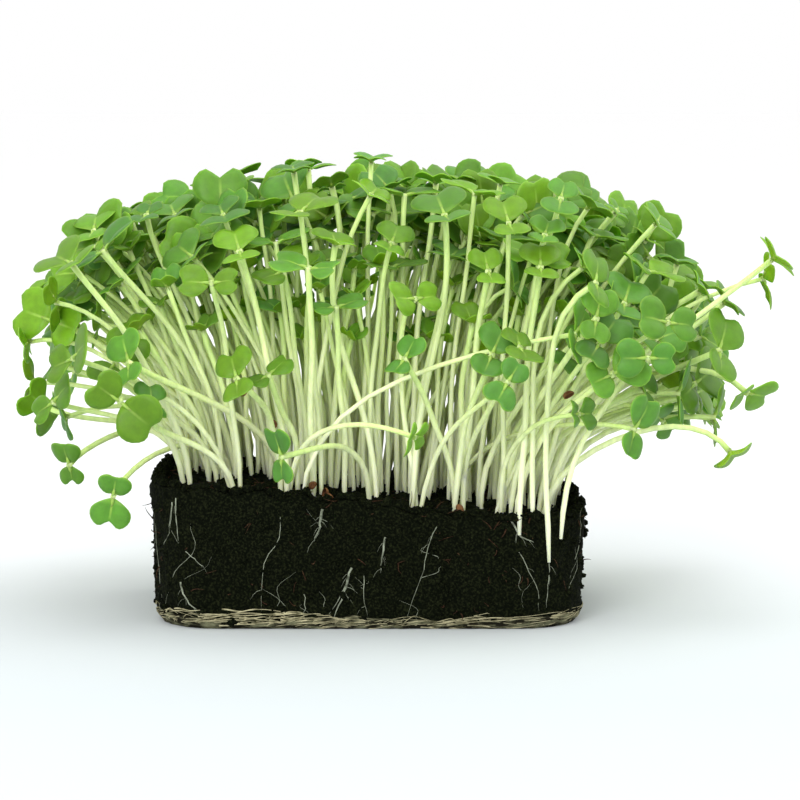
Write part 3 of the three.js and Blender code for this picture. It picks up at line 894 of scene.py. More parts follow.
class Shapes:
    """Small meshes that are stamped again and again: stems, a petiole, a root, blades, a crumb."""

    PETIOLE_SIDES = 5
    PETIOLE_STEPS = 3
    ROOT_SIDES = 4
    ROOT_STEPS = 9
    ORDER = Vector((1.0, 31.0, 977.0))

    def __init__(self) -> None:
        """Make each shape once."""
        self.stems = {detail: self._stem(detail) for detail in Detail}
        self.petiole = self._tube("petiole_shape", self.PETIOLE_SIDES, self.PETIOLE_STEPS, 1)
        self.root = self._tube("root_shape", self.ROOT_SIDES, self.ROOT_STEPS, 0)
        self.blades = {detail: self._blade(detail) for detail in Detail}
        self.crumb = self._crumb()

    @classmethod
    def sort(cls, mesh: bmesh.types.BMesh) -> None:
        """Sort a shape by place, because some operators leave it in another order each run."""
        mesh.verts.sort(key=lambda vertex: vertex.co.dot(cls.ORDER))
        mesh.edges.sort(key=lambda edge: (edge.verts[0].co + edge.verts[1].co).dot(cls.ORDER))
        mesh.faces.sort(key=lambda face: face.calc_center_median().dot(cls.ORDER))

    @classmethod
    def keep(cls, name: str, mesh: bmesh.types.BMesh, material: int) -> bpy.types.Mesh:
        """Store a shape as a mesh with the layers that stamping fills in."""
        attribute_layers(mesh)
        cls.sort(mesh)
        for face in mesh.faces:
            face.smooth = True
            face.material_index = material
        data = bpy.data.meshes.new(name)
        mesh.to_mesh(data)
        mesh.free()
        return data

    def _tube(self, name: str, sides: int, steps: int, material: int) -> bpy.types.Mesh:
        """Make a closed tube of radius 1 from z = 0 to z = 1."""
        mesh = bmesh.new()
        bmesh.ops.create_cone(
            mesh, cap_ends=True, segments=sides, radius1=1, radius2=1, depth=1,
        )
        bmesh.ops.translate(mesh, vec=(0, 0, 0.5), verts=mesh.verts)
        upright = [e for e in mesh.edges if abs(e.verts[0].co.z - e.verts[1].co.z) > 0.5]
        bmesh.ops.subdivide_edges(mesh, edges=upright, cuts=steps - 1, use_grid_fill=True)
        return self.keep(name, mesh, material)

    def _stem(self, detail: Detail) -> bpy.types.Mesh:
        """Make the tube that is bent into a stem."""
        sides, steps = detail.value[2:]
        return self._tube(f"stem_shape_{detail.name.lower()}", sides, steps, 0)

    def _blade(self, detail: Detail) -> bpy.types.Mesh:
        """Make a flat slab from -1 to 1 each way, its upper side at z = 1 and lower at 0."""
        across, along = detail.value[:2]
        mesh = bmesh.new()
        bmesh.ops.create_grid(mesh, x_segments=across, y_segments=along, size=1)
        sheet = list(mesh.faces)
        made = bmesh.ops.extrude_face_region(mesh, geom=sheet)
        raised = [item for item in made["geom"] if isinstance(item, bmesh.types.BMVert)]
        bmesh.ops.translate(mesh, vec=(0, 0, 1), verts=raised)
        bmesh.ops.recalc_face_normals(mesh, faces=mesh.faces)
        return self.keep(f"blade_shape_{detail.name.lower()}", mesh, 1)

    def _crumb(self) -> bpy.types.Mesh:
        """Make a rough ball of radius 1."""
        mesh = bmesh.new()
        bmesh.ops.create_icosphere(mesh, subdivisions=1, radius=1)
        return self.keep("crumb_shape", mesh, 0)


@dataclass(frozen=True)
class Tone:
    """One seedling's own colouring, each from 0 to 1: how yellow, how light, and a free draw."""

    yellow: float
    light: float
    free: float

    def colour(self) -> tuple[float, float, float, float]:
        """Return the tone as the four numbers of a colour attribute."""
        return (self.yellow, self.light, self.free, 1.0)


def rings_along(points: np.ndarray) -> list[tuple]:
    """Return a point and two cross directions for each point of a path, without twist."""
    tangents = np.gradient(points, axis=0)
    tangents /= np.linalg.norm(tangents, axis=1)[:, None]
    start = np.array((1.0, 0.0, 0.0)) if abs(tangents[0][0]) < 0.9 else np.array((0.0, 1.0, 0.0))
    side = start
    rings = []
    for point, tangent in zip(points, tangents):
        side = side - tangent * np.dot(side, tangent)
        side = side / np.linalg.norm(side)
        rings.append((point, side, np.cross(tangent, side)))
    return rings


def tube_mover(points: np.ndarray, radius: Callable[[float], float], kind: float) -> Callable:
    """Return the mover that lays a tube shape along a path.

    Args:
        points: The path, one row for each ring of the tube.
        radius: The tube's radius at a share of its way.
        kind: A number kept in the place, which tells the materials what the tube is.

    Returns:
        The mover.
    """
    rings = rings_along(points)
    last = len(rings) - 1

    def move(corner: Vector) -> tuple:
        """Return a corner's spot and place."""
        share = min(1.0, max(0.0, corner.z))
        point, side, other = rings[round(share * last)]
        spot = point + radius(share) * (corner.x * side + corner.y * other)
        turn = math.atan2(corner.y, corner.x) / math.tau + 0.5
        return spot, (turn, share, kind)

    return move


@dataclass(frozen=True)
class Blade:
    """One blade's own form, past what the solids' rule gives it."""

    fold_more: float
    dome: float
    twist: float
    curl: float
    notch: float

    THICKNESS = 0.42

    @classmethod
    def drawn(cls, run: RandomRun) -> "Blade":
        """Draw a blade's form."""
        return cls(run.between(-0.16, 0.12), run.between(0.5, 1.1), run.between(-0.12, 0.12),
                   run.between(-0.05, 0.09), run.between(0.16, 0.32))

    def mover(self, place: LeafPlace) -> Callable:
        """Return the mover that turns the flat blade shape into this blade.

        Args:
            place: The leaf's place.

        Returns:
            The mover.
        """
        half = place.size * HABIT.leaf_width / 2
        foot = 0.55 * place.size * HABIT.petiole - 0.1
        length = place.size * HABIT.leaf_length - foot

        def move(corner: Vector) -> tuple:
            """Return a corner's spot and place: a disc, pinched, notched and then bent up."""
            s, t, upper = corner
            disc_x = s * math.sqrt(1 - t * t / 2)
            disc_y = t * math.sqrt(1 - s * s / 2)
            pinch = 1 - 0.3 * max(0.0, -disc_y)**2.2 + 0.04 * max(0.0, disc_y)
            across = half * disc_x * pinch
            hollow = math.exp(-(disc_x / 0.33)**2) * max(0.0, disc_y)**1.5
            along = foot + length * (0.5 + 0.53 * disc_y - self.notch * hollow)
            lobe = abs(across) / half
            height = leaf_height(across, along, place.size)
            height += self.fold_more * abs(across) + self.twist * across * (0.5 + 0.5 * disc_y)
            height += self.dome * (0.7 * math.sin(math.pi * min(1.0, lobe)) - 0.9 * lobe * lobe)
            height -= self.curl * max(0.0, disc_y) * length
            rim = max(abs(s), abs(t))
            height += (upper - 0.5) * self.THICKNESS * (1 - 0.55 * rim**4)
            where = (0.5 + 0.5 * disc_x, 0.5 + 0.5 * disc_y, 1 + upper)
            return place.world((across, along, height)), where

        return move


@dataclass(frozen=True)
class Greenery:
    """Builds seedlings' finer stems, petioles and blades."""

    shapes: Shapes
    stem: bpy.types.Material
    leaf: bpy.types.Material
    stem_radius: float = 0.76
    stem_wobble: float = 0.5
    petiole_radius: float = 0.66
    petiole_taper: float = 0.32

    def piece(self, name: str, seedlings: list, detail: Detail, seed: int) -> bpy.types.Object:
        """Build one piece that holds several seedlings.

        Args:
            name: The piece's name.
            seedlings: The seedlings.
            detail: How finely they are divided.
            seed: The seed of their small differences.

        Returns:
            The piece.
        """
        stamps = Stamps()
        run = RandomRun(seed)
        for seedling in seedlings:
            tone = Tone(run.draw(), run.draw(), run.draw())
            self._add_stem(stamps, seedling, detail, tone, run)
            for place in seedling.leaves():
                light = min(1.0, max(0.0, tone.light + run.between(-0.2, 0.2)))
                shade = Tone(tone.yellow, light, run.draw())
                self._add_petiole(stamps, seedling, place, shade)
                blade = self.shapes.blades[detail]
                stamps.add(blade, Blade.drawn(run).mover(place), shade.colour())
        return object_from(name, stamps.settle(), [self.stem, self.leaf])

    def _add_stem(self, stamps: Stamps, seedling: Seedling, detail: Detail, tone: Tone,
                  run: RandomRun) -> None:
        """Add a seedling's stem, a little wavy and a little thinner towards the top.

        Args:
            stamps: Where it is added.
            seedling: The seedling.
            detail: How finely the stem is divided.
            tone: The seedling's colouring.
            run: Draws its waves and its girth.
        """
        steps = np.linspace(0, 1, detail.value[3] + 1)
        points = seedling.points(steps)
        phase_x, phase_y = run.between(0, math.tau), run.between(0, math.tau)
        bell = np.sin(math.pi * steps) * self.stem_wobble
        points[:, 0] += bell * np.sin(9 * steps + phase_x)
        points[:, 1] += bell * np.sin(8 * steps + phase_y)
        girth = self.stem_radius * run.between(0.8, 1.12)

        def radius(share: float) -> float:
            """Return the stem's radius at a share of its length."""
            swelling = 0.12 * max(0.0, share - 0.9) / 0.1
            foot = min(1.0, 0.55 + 4 * share)
            return girth * foot * (1.04 - 0.14 * share + swelling)

        stamps.add(self.shapes.stems[detail], tube_mover(points, radius, 0.0), tone.colour())

    def _add_petiole(self, stamps: Stamps, seedling: Seedling, place: LeafPlace,
                     tone: Tone) -> None:
        """Add the short stalk from the stem's end to a blade.

        Args:
            stamps: Where it is added.
            seedling: The seedling.
            place: The blade's place.
            tone: The blade's colouring.
        """
        steps = np.arange(self.shapes.PETIOLE_STEPS + 1) / self.shapes.PETIOLE_STEPS
        start = seedling.tip - seedling.end * 1.2
        bend = seedling.tip + seedling.end * 0.2 + place.along * 0.4
        far = HABIT.petiole * place.size + 0.9
        end = place.world((0, far, leaf_height(0, far, place.size) - 0.1))
        t = steps[:, None]
        points = (1 - t)**2 * start + 2 * (1 - t) * t * bend + t * t * end

        def radius(share: float) -> float:
            """Return the petiole's radius at a share of its length."""
            return self.petiole_radius - self.petiole_taper * share

        stamps.add(self.shapes.petiole, tube_mover(points, radius, 0.5), tone.colour())


@dataclass(frozen=True)
class Compost:
    """The block of compost with its crumbs, fibres, root mat and single roots, in millimetres."""

    shapes: Shapes
    soil: bpy.types.Material
    roots: bpy.types.Material
    felt: bpy.types.Material
    threads: bpy.types.Material
    fibre: bpy.types.Material
    block_cuts: tuple = (150, 100, 44)
    mat_cuts: tuple = (110, 76, 4)
    # Crumbs, as radii: the most are small, some are lumps, and some lie along the rim.
    crumb: float = 0.35
    crumb_more: float = 0.9
    lump_every: int = 40
    lump: tuple = (1.2, 1.7)
    rim_every: int = 8
    rim_crumb: tuple = (0.8, 1.9)
    rim_inset: tuple = (0.96, 0.995)
    # Where felt threads pile up, as an angle round the block, and how much higher they reach.
    piles: tuple = ((4.0, 3.2), (5.5, 1.5))
    pile_reach: float = 0.4
    thick_at: float = 4.0
    thick_reach: float = 0.35
    thicker: float = 1.5
    # Roots on the front are drawn as this many places, and as this much of their stated radius.
    way_steps: int = 12
    front_girth: float = 0.85
    hairs_per_radius: int = 14
    hair: float = 0.055
    # Hair roots: where they start, how high they reach at most, and their radii.
    hair_start: tuple = (2, 22)
    hair_top: int = 31
    hair_least: float = 0.035
    hair_more: float = 0.05
    # Felt threads: the angle that they run through, their height, rise and radius.
    thread_span: tuple = (0.06, 0.3)
    thread_base: tuple = (0.3, 2.2)
    thread_swell: tuple = (-0.6, 1.8)
    thread_radius: tuple = (0.05, 0.15)
    # Fibres: their length, and their radius.
    fibre_least: float = 1.2
    fibre_more: float = 3.5
    fibre_radius: tuple = (0.09, 0.2)
    level: float = 0.9
    places_along: int = 10
    # Each root that shows on the front face: its radius, and its way as across and height.
    front_roots: tuple = (
        (0.2, ((-49.5, 33.5), (-50, 28), (-49, 22))),
        (0.13, ((-21.8, 29), (-22.5, 23), (-26, 18.5), (-27.5, 12), (-27.3, 4.8))),
        (0.42, ((-11.6, 31), (-12, 27), (-13.5, 22.8))),
        (0.34, ((4.3, 23.8), (3.6, 19), (3, 14.6))),
        (0.16, ((17, 26.5), (15, 21), (14.3, 16), (10, 3.3))),
        (0.36, ((-4.3, 16), (-6, 10), (-8.8, 3.3))),
        (0.2, ((-5.2, 13), (-7, 9), (-10, 4))),
        (0.14, ((-1.3, 14.5), (-1.2, 9), (-0.3, 3.3))),
        (0.12, ((-16.3, 9.2), (-16.2, 5), (-16.8, 2.5))),
        (0.14, ((38, 20), (41, 15), (43.5, 10), (43.7, 4.8))),
        (0.16, ((46.3, 18), (46.5, 12), (46, 5.5))),
        (0.2, ((-51.3, 32.3), (-52.5, 28), (-54, 25.8))),
        (0.3, ((-49, 12), (-48.3, 9), (-46.5, 6.5), (-44, 5))),
        (0.14, ((-47, 20), (-44, 18), (-42, 16))),
        (0.3, ((36, 28), (38, 24), (42, 22.5))),
    )

    @staticmethod
    def _slab(across: int, back: int, up: int) -> bmesh.types.BMesh:
        """Make a box from -1 to 1 across and back and 0 to 1 up, cut into many faces."""
        mesh = bmesh.new()
        bmesh.ops.create_cube(mesh, size=2)
        bmesh.ops.scale(mesh, vec=(1, 1, 0.5), verts=mesh.verts)
        bmesh.ops.translate(mesh, vec=(0, 0, 0.5), verts=mesh.verts)
        for axis, cuts in enumerate((across, back, up)):
            run = [e for e in mesh.edges
                   if abs(e.verts[0].co[axis] - e.verts[1].co[axis]) > 0.5]
            bmesh.ops.subdivide_edges(mesh, edges=run, cuts=cuts, use_grid_fill=True)
        return mesh

    @staticmethod
    def _crumbly(point: Vector) -> float:
        """Return the relief of crumbly compost at a point: lumps, crumbs and broad swells."""
        cell = noise.voronoi(point * 0.42)[0][0]
        small = noise.voronoi(point * 1.0)[0][0]
        broad = noise.noise(point * 0.13)
        return 0.75 * (0.5 - cell) + 0.45 * (0.5 - small) + 0.8 * broad

    def block(self) -> bpy.types.Object:
        """Build the compost block over the solid one."""
        mesh = self._slab(*self.block_cuts)
        for vertex in mesh.verts:
            across, back, up = vertex.co
            rough = BLOCK.plan_point(across, back, up * BLOCK.height)
            bottom = BLOCK.mat_top(*rough) - 0.5
            z = bottom + (BLOCK.soil_top(*rough) - bottom) * up
            plan = BLOCK.plan_point(across, back, z)
            vertex.co = Vector((plan[0], plan[1], z))
        mesh.normal_update()
        moved = []
        for vertex in mesh.verts:
            relief = self._crumbly(vertex.co)
            moved.append(vertex.co + vertex.normal * relief)
        for vertex, spot in zip(mesh.verts, moved):
            vertex.co = spot * MM
        for face in mesh.faces:
            face.smooth = True
        piece = object_from("compost_block", mesh, [self.soil])
        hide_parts("soil_block")
        return piece

    def _surface_point(self, run: RandomRun, share_top: float) -> tuple[Vector, Vector]:
        """Draw a point of the block's top or sides, and the direction out of it."""
        if run.draw() < share_top:
            plan = BLOCK.plan_point(run.between(-1, 1), run.between(-1, 1), BLOCK.height)
            return Vector((*plan, BLOCK.soil_top(*plan))), Vector(UP)
        angle = run.between(0, math.tau)
        z = run.between(3, BLOCK.height)
        plan = BLOCK.plan_point(*edge_at(angle), z)
        z = min(z, BLOCK.soil_top(*plan))
        out = Vector((math.cos(angle) / BLOCK.width, math.sin(angle) / BLOCK.depth, 0))
        return Vector((*plan, z)), out.normalized()

    def crumbs(self, count: int) -> bpy.types.Object:
        """Build loose crumbs on the block's top, sides and rim.

        Args:
            count: How many.

        Returns:
            The piece.
        """
        run = RandomRun(5)
        stamps = Stamps()
        for index in range(count):
            spot, out = self._surface_point(run, 0.6)
            radius = self.crumb + self.crumb_more * run.draw()**3
            if index % self.lump_every == 0:
                radius = run.between(*self.lump)
            if index % self.rim_every == 0:
                edge = np.array(edge_at(run.between(0, math.tau))) * run.between(*self.rim_inset)
                plan = BLOCK.plan_point(*edge, BLOCK.height)
                spot, out = Vector((*plan, BLOCK.soil_top(*plan) + 0.3)), Vector(UP)
                radius = run.between(*self.rim_crumb)
            squash = Vector((run.between(0.6, 1), run.between(0.6, 1), run.between(0.5, 1)))
            offset = Vector((run.between(0, 50), run.between(0, 50), 0))
            mover = self._crumb_mover(spot + out * (radius * 0.35), squash * radius, offset)
            stamps.add(self.shapes.crumb, mover, (run.draw(), run.draw(), run.draw(), 1.0))
        mesh = stamps.settle()
        for face in mesh.faces:
            face.smooth = False
        return object_from("compost_crumbs", mesh, [self.soil])

    @staticmethod
    def _crumb_mover(centre: Vector, size: Vector, offset: Vector) -> Callable:
        """Return the mover that turns the crumb shape into one rough crumb."""

        def move(corner: Vector) -> tuple:
            """Return a corner's spot and place."""
            rough = 1 + 0.5 * noise.noise(corner * 1.3 + offset)
            body = Vector(a * b for a, b in zip(corner, size)) * rough
            return centre + body, (0.0, 0.0, 0.0)

        return move

    def _thread(self, stamps: Stamps, points: np.ndarray, thick: float, run: RandomRun) -> None:
        """Add a thin root or fibre along points in millimetres."""
        steps = np.linspace(0, len(points) - 1, self.shapes.ROOT_STEPS + 1)
        path = np.stack([np.interp(steps, np.arange(len(points)), points[:, i])
                         for i in range(3)], axis=1)

        def radius(share: float) -> float:
            """Return the thread's radius at a share of its length."""
            return thick * (1 - 0.75 * share**2)

        tone = (run.draw(), run.draw(), run.draw(), 1.0)
        stamps.add(self.shapes.root, tube_mover(path, radius, 0.0), tone)

    @staticmethod
    def _on_side(across: float, back: float, z: float, lift: float) -> np.ndarray:
        """Return a point at a height on the block's side, lifted off it."""
        plan = BLOCK.plan_point(across, back, z)
        out = np.array((plan[0] / BLOCK.width, plan[1] / BLOCK.depth))
        plan = plan + out / np.linalg.norm(out) * lift
        return np.array((plan[0], plan[1], z))

    def _run_over_side(self, stamps: Stamps, places: list, thick: float,
                       run: RandomRun) -> None:
        """Lay a root over the block's side.

        Args:
            stamps: Where it is added.
            places: Its way, as pairs of an angle round the block and a height.
            thick: Its radius.
            run: Draws its colouring.
        """
        points = []
        for angle, z in places:
            edge = edge_at(angle)
            lift = max(0.0, self._crumbly(Vector(self._on_side(*edge, z, 0))))
            points.append(self._on_side(*edge, z, lift + 0.6 * thick))
        self._thread(stamps, np.array(points), thick, run)

    @staticmethod
    def _front_angle(x: float) -> float:
        """Return the angle round the block of a place across its front face."""
        return math.atan2(-1.0, x / (BLOCK.width / 2))

    def single_roots(self, count: int) -> bpy.types.Object:
        """Build the roots that run over the block's sides.

        Args:
            count: How many hair roots to draw, past those that show on the front.

        Returns:
            The piece.
        """
        run = RandomRun(23)
        stamps = Stamps()
        steps = np.linspace(0, 1, self.way_steps)
        for thick, way in self.front_roots:
            shares = np.linspace(0, 1, len(way))
            xs, zs = (np.interp(steps, shares, column) for column in zip(*way))
            places = [(self._front_angle(x + run.between(-0.25, 0.25)), z) for x, z in zip(xs, zs)]
            self._run_over_side(stamps, places, self.front_girth * thick, run)
            for _ in range(int(self.hairs_per_radius * thick)):
                at = run.between(0.1, 0.9)
                x, z = np.interp(at, steps, xs), np.interp(at, steps, zs)
                far = run.between(-4, 4)
                fine = [(self._front_angle(x + far * share), z - 2.5 * share * share)
                        for share in (0, 0.4, 0.7, 1)]
                self._run_over_side(stamps, fine, self.hair, run)
        for _ in range(count):
            angle = run.between(0, math.tau)
            low = run.between(*self.hair_start)
            high = min(low + 2 + 14 * run.draw()**2, self.hair_top)
            thick = self.hair_least + self.hair_more * run.draw()**2
            wander, phase = run.between(0.005, 0.03), run.between(0, math.tau)
            drift = run.between(-0.1, 0.1)
            places = []
            for share in np.linspace(0, 1, self.places_along):
                bend = angle + drift * share + wander * math.sin(6 * share + phase)
                places.append((bend, low + (high - low) * share))
            self._run_over_side(stamps, places, thick, run)
        return object_from("side_roots", stamps.settle(), [self.roots])

    def mat(self) -> bpy.types.Object:
        """Build the felted root mat over the solid one."""
        mesh = self._slab(*self.mat_cuts)
        for vertex in mesh.verts:
            across, back, up = vertex.co
            rough = BLOCK.plan_point(across, back, 0)
            z = up * BLOCK.mat_top(*rough)
            plan = BLOCK.plan_point(across, back, z)
            grain = noise.noise(Vector((plan[0] * 0.5, plan[1] * 0.5, z * 1.4)))
            ragged = noise.noise(Vector((plan[0] * 0.22, plan[1] * 0.22, 7)))
            side = max(abs(across), abs(back)) > 0.99
            out = 1 + (0.5 + 0.5 * grain) / max(1.0, math.hypot(*plan)) if side else 1
            if up > 0.99:
                z += 0.8 * ragged
            lift = 0.12 * (1 + grain) if up < 0.01 and not side else 0
            vertex.co = Vector((plan[0] * out, plan[1] * out, max(0, z + lift))) * MM
        for face in mesh.faces:
            face.smooth = True
        piece = object_from("root_felt", mesh, [self.felt])
        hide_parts("root_mat")
        return piece

    def felt_threads(self, count: int) -> bpy.types.Object:
        """Build the threads of the mat that show round the block's foot.

        Args:
            count: How many.

        Returns:
            The piece.
        """
        run = RandomRun(31)
        stamps = Stamps()
        for _ in range(count):
            angle = run.between(0, math.tau)
            span = run.between(*self.thread_span)
            base, swell = run.between(*self.thread_base), run.between(*self.thread_swell)
            for pile_at, higher in self.piles:
                if abs(angle - pile_at) < self.pile_reach:
                    base += run.between(0, higher)
            thick = run.between(*self.thread_radius)
            if abs(angle - self.thick_at) < self.thick_reach:
                thick *= self.thicker
            phase = run.between(0, math.tau)
            points = []
            for share in np.linspace(0, 1, self.places_along):
                edge = edge_at(angle + span * share)
                z = max(thick, base + swell * math.sin(math.pi * share)
                        + 0.3 * math.sin(7 * share + phase))
                lift = 0.45 + 0.3 * math.sin(9 * share + phase)
                points.append(self._on_side(*edge, z, lift))
            self._thread(stamps, np.array(points), thick, run)
        return object_from("felt_threads", stamps.settle(), [self.threads])

    def fibres(self, count: int) -> bpy.types.Object:
        """Build short brown fibres of peat that stick out of the block.

        Args:
            count: How many.

        Returns:
            The piece.
        """
        run = RandomRun(61)
        stamps = Stamps()
        for _ in range(count):
            spot, out = self._surface_point(run, 0.5)
            start = np.array(spot)
            drawn = np.array((run.between(-1, 1), run.between(-1, 1), run.between(-0.9, 0.9)))
            way = drawn - np.array(out) * np.dot(drawn, out) * 0.8 + 0.15 * np.array(out)
            way /= np.linalg.norm(way)
            long = self.fibre_least + self.fibre_more * run.draw()**2
            if out[2] > self.level:
                way[2] = 0.7 * abs(way[2]) + 0.1
                long *= 1.3
            bow = np.array((run.between(-1, 1), run.between(-1, 1), run.between(-1, 1)))
            shares = np.linspace(0, 1, self.places_along)[:, None]
            points = start + way * long * shares + bow * 0.5 * np.sin(3 * shares)
            self._thread(stamps, points, run.between(*self.fibre_radius), run)
        return object_from("peat_fibres", stamps.settle(), [self.fibre])


@dataclass(frozen=True)
class SeedCoats:
    """The few empty seed coats that still lie among the stems."""

    material: bpy.types.Material
    # Where each lies: across, height and depth.
    places: tuple = (
        (50, 60, -39), (-31, 61, -42), (-11, 34.5, -31), (-9.5, 34, -33), (23, 30.5, -33),
        (-24, 52, -32), (-14, 36, -29),
    )

    def build(self) -> bpy.types.Object:
        """Build the coats: each a hollow half shell of an egg shape.

        Returns:
            The piece.
        """
        run = RandomRun(77)
        shape = self._shell()
        stamps = Stamps()
        for x, z, y in self.places:
            size = run.between(1.0, 1.35)
            turn = Euler([run.between(0, 6) for _ in "xyz"]).to_matrix()
            mover = self._mover(Vector((x, y, z)), turn, size)
            stamps.add(shape, mover, (run.draw(), run.draw(), run.draw(), 1.0))
        return object_from("seed_coats", stamps.settle(), [self.material])

    @staticmethod
    def _shell() -> bpy.types.Mesh:
        """Make an open half shell of an egg shape, about 1 in radius."""
        mesh = bmesh.new()
        bmesh.ops.create_uvsphere(mesh, u_segments=14, v_segments=9, radius=1)
        bmesh.ops.bisect_plane(
            mesh, geom=mesh.verts[:] + mesh.edges[:] + mesh.faces[:],
            plane_co=(0, 0, -0.2), plane_no=(0.2, 0, 1), clear_inner=True,
        )
        Shapes.sort(mesh)
        bmesh.ops.solidify(mesh, geom=mesh.faces[:], thickness=0.14)
        bmesh.ops.recalc_face_normals(mesh, faces=mesh.faces)
        bmesh.ops.scale(mesh, vec=(1.15, 0.9, 0.85), verts=mesh.verts)
        return Shapes.keep("seed_coat_shape", mesh, 0)

    @staticmethod
    def _mover(centre: Vector, turn: Matrix, size: float) -> Callable:
        """Return the mover that places one shell."""

        def move(corner: Vector) -> tuple:
            """Return a corner's spot and place."""
            return centre + (turn @ corner) * size, (0.0, 0.0, 0.0)

        return move


class Tree:
    """A small helper that adds nodes to a node tree and joins them."""

    def __init__(self, tree: bpy.types.NodeTree) -> None:
        """Keep the tree."""
        self.tree = tree

    def add(self, kind: str, settings: dict | None = None, **inputs) -> bpy.types.Node:
        """Add a node to the tree.

        Args:
            kind: The node's type name.
            settings: Its own properties.
            **inputs: Values or sockets, under an input's name with _ for a blank, or n and its
                number.

        Returns:
            The node.
        """
        node = self.tree.nodes.new(kind)
        for name, value in (settings or {}).items():
            setattr(node, name, value)
        for name, value in inputs.items():
            numbered = name[0] == "n" and name[1:].isdigit()
            key = int(name[1:]) if numbered else name.replace("_", " ")
            self.feed(node.inputs[key], value)
        return node

    def feed(self, socket: bpy.types.NodeSocket, value: Value) -> None:
        """Set an input, or join it to another node's output."""
        if isinstance(value, bpy.types.NodeSocket):
            self.tree.links.new(value, socket)
        else:
            socket.default_value = value

    def math(self, operation: str, first: Value, second: Value = 0.5) -> bpy.types.NodeSocket:
        """Return the result of a Math node."""
        return self.add("ShaderNodeMath", {"operation": operation}, n0=first, n1=second).outputs[0]

    def mix(self, factor: Value, first: Value, second: Value) -> bpy.types.NodeSocket:
        """Return the result of a colour Mix node, whose colours are its inputs 6 and 7."""
        return self.add("ShaderNodeMix", {"data_type": "RGBA"}, n0=factor, n6=first,
                        n7=second).outputs[2]

    def spread(self, value: Value, low: float, high: float, to_low: float = 0,
               to_high: float = 1) -> bpy.types.NodeSocket:
        """Return a value carried from one range to another and held to it."""
        return self.add("ShaderNodeMapRange", n0=value, n1=low, n2=high, n3=to_low,
                        n4=to_high).outputs[0]


def grain_group() -> bpy.types.NodeTree:
    """Build the group that mottles a surface and bumps it, which every finish here uses.

    Returns:
        The node group: Scale, Bump, Height and Stretch in, a Mask and a Normal out.
    """
    group = bpy.data.node_groups.new("grain", "ShaderNodeTree")
    face = group.interface
    for name, kind, start in (("Scale", "NodeSocketFloat", 1.0), ("Bump", "NodeSocketFloat", 0.3),
                              ("Height", "NodeSocketFloat", 0.0002),
                              ("Stretch", "NodeSocketVector", (1, 1, 1))):
        socket = face.new_socket(name=name, in_out="INPUT", socket_type=kind)
        socket.default_value = start
    face.new_socket(name="Mask", in_out="OUTPUT", socket_type="NodeSocketFloat")
    face.new_socket(name="Normal", in_out="OUTPUT", socket_type="NodeSocketVector")
    tree = Tree(group)
    given = tree.add("NodeGroupInput")
    place = tree.add("ShaderNodeTexCoord").outputs["Object"]
    mapped = tree.add("ShaderNodeMapping", Vector=place, Scale=given.outputs["Stretch"])
    pattern = tree.add("ShaderNodeTexNoise", Vector=mapped.outputs[0],
                       Scale=given.outputs["Scale"], Detail=4.0, Roughness=0.6)
    bump = tree.add("ShaderNodeBump", Strength=given.outputs["Bump"],
                    Distance=given.outputs["Height"], Height=pattern.outputs["Fac"])
    out = tree.add("NodeGroupOutput")
    group.links.new(pattern.outputs["Fac"], out.inputs["Mask"])
    group.links.new(bump.outputs["Normal"], out.inputs["Normal"])
    return group


@dataclass(frozen=True)
class Finish:
    """What every finish holds: a name, and how its material starts."""

    name: str

    def start(self) -> tuple[bpy.types.Material, Tree, bpy.types.Node]:
        """Return a new material, its tree and its Principled shader."""
        material = bpy.data.materials.new(self.name)
        material.use_nodes = True
        shader = material.node_tree.nodes["Principled BSDF"]
        return material, Tree(material.node_tree), shader

    @staticmethod
    def grain(tree: Tree, group: bpy.types.NodeTree, scale: float, bump: float,
              height: float, stretch: tuple = (1, 1, 1)) -> bpy.types.Node:
        """Place the grain group in a material with its own values."""
        return tree.add("ShaderNodeGroup", {"node_tree": group}, Scale=scale, Bump=bump,
                        Height=height, Stretch=stretch)

    @staticmethod
    def own_place(tree: Tree) -> tuple[bpy.types.NodeSocket, ...]:
        """Return what stamping kept: across, along and kind, then a yellow and a light draw."""
        place = tree.add("ShaderNodeAttribute", {"attribute_name": "place"})
        tone = tree.add("ShaderNodeAttribute", {"attribute_name": "tone"})
        spot = tree.add("ShaderNodeSeparateXYZ", n0=place.outputs["Vector"])
        draws = tree.add("ShaderNodeSeparateColor", n0=tone.outputs["Color"])
        return (*spot.outputs[:3], *draws.outputs[:2])

    @staticmethod
    def juicy(shader: bpy.types.Node, weight: float, radius: tuple, scale: float,
              gloss: float) -> None:
        """Let light into the flesh, as deep as radius times scale for red, green and blue."""
        shader.inputs["Subsurface Weight"].default_value = weight
        shader.inputs["Subsurface Radius"].default_value = radius
        shader.inputs["Subsurface Scale"].default_value = scale
        shader.inputs["Specular IOR Level"].default_value = gloss


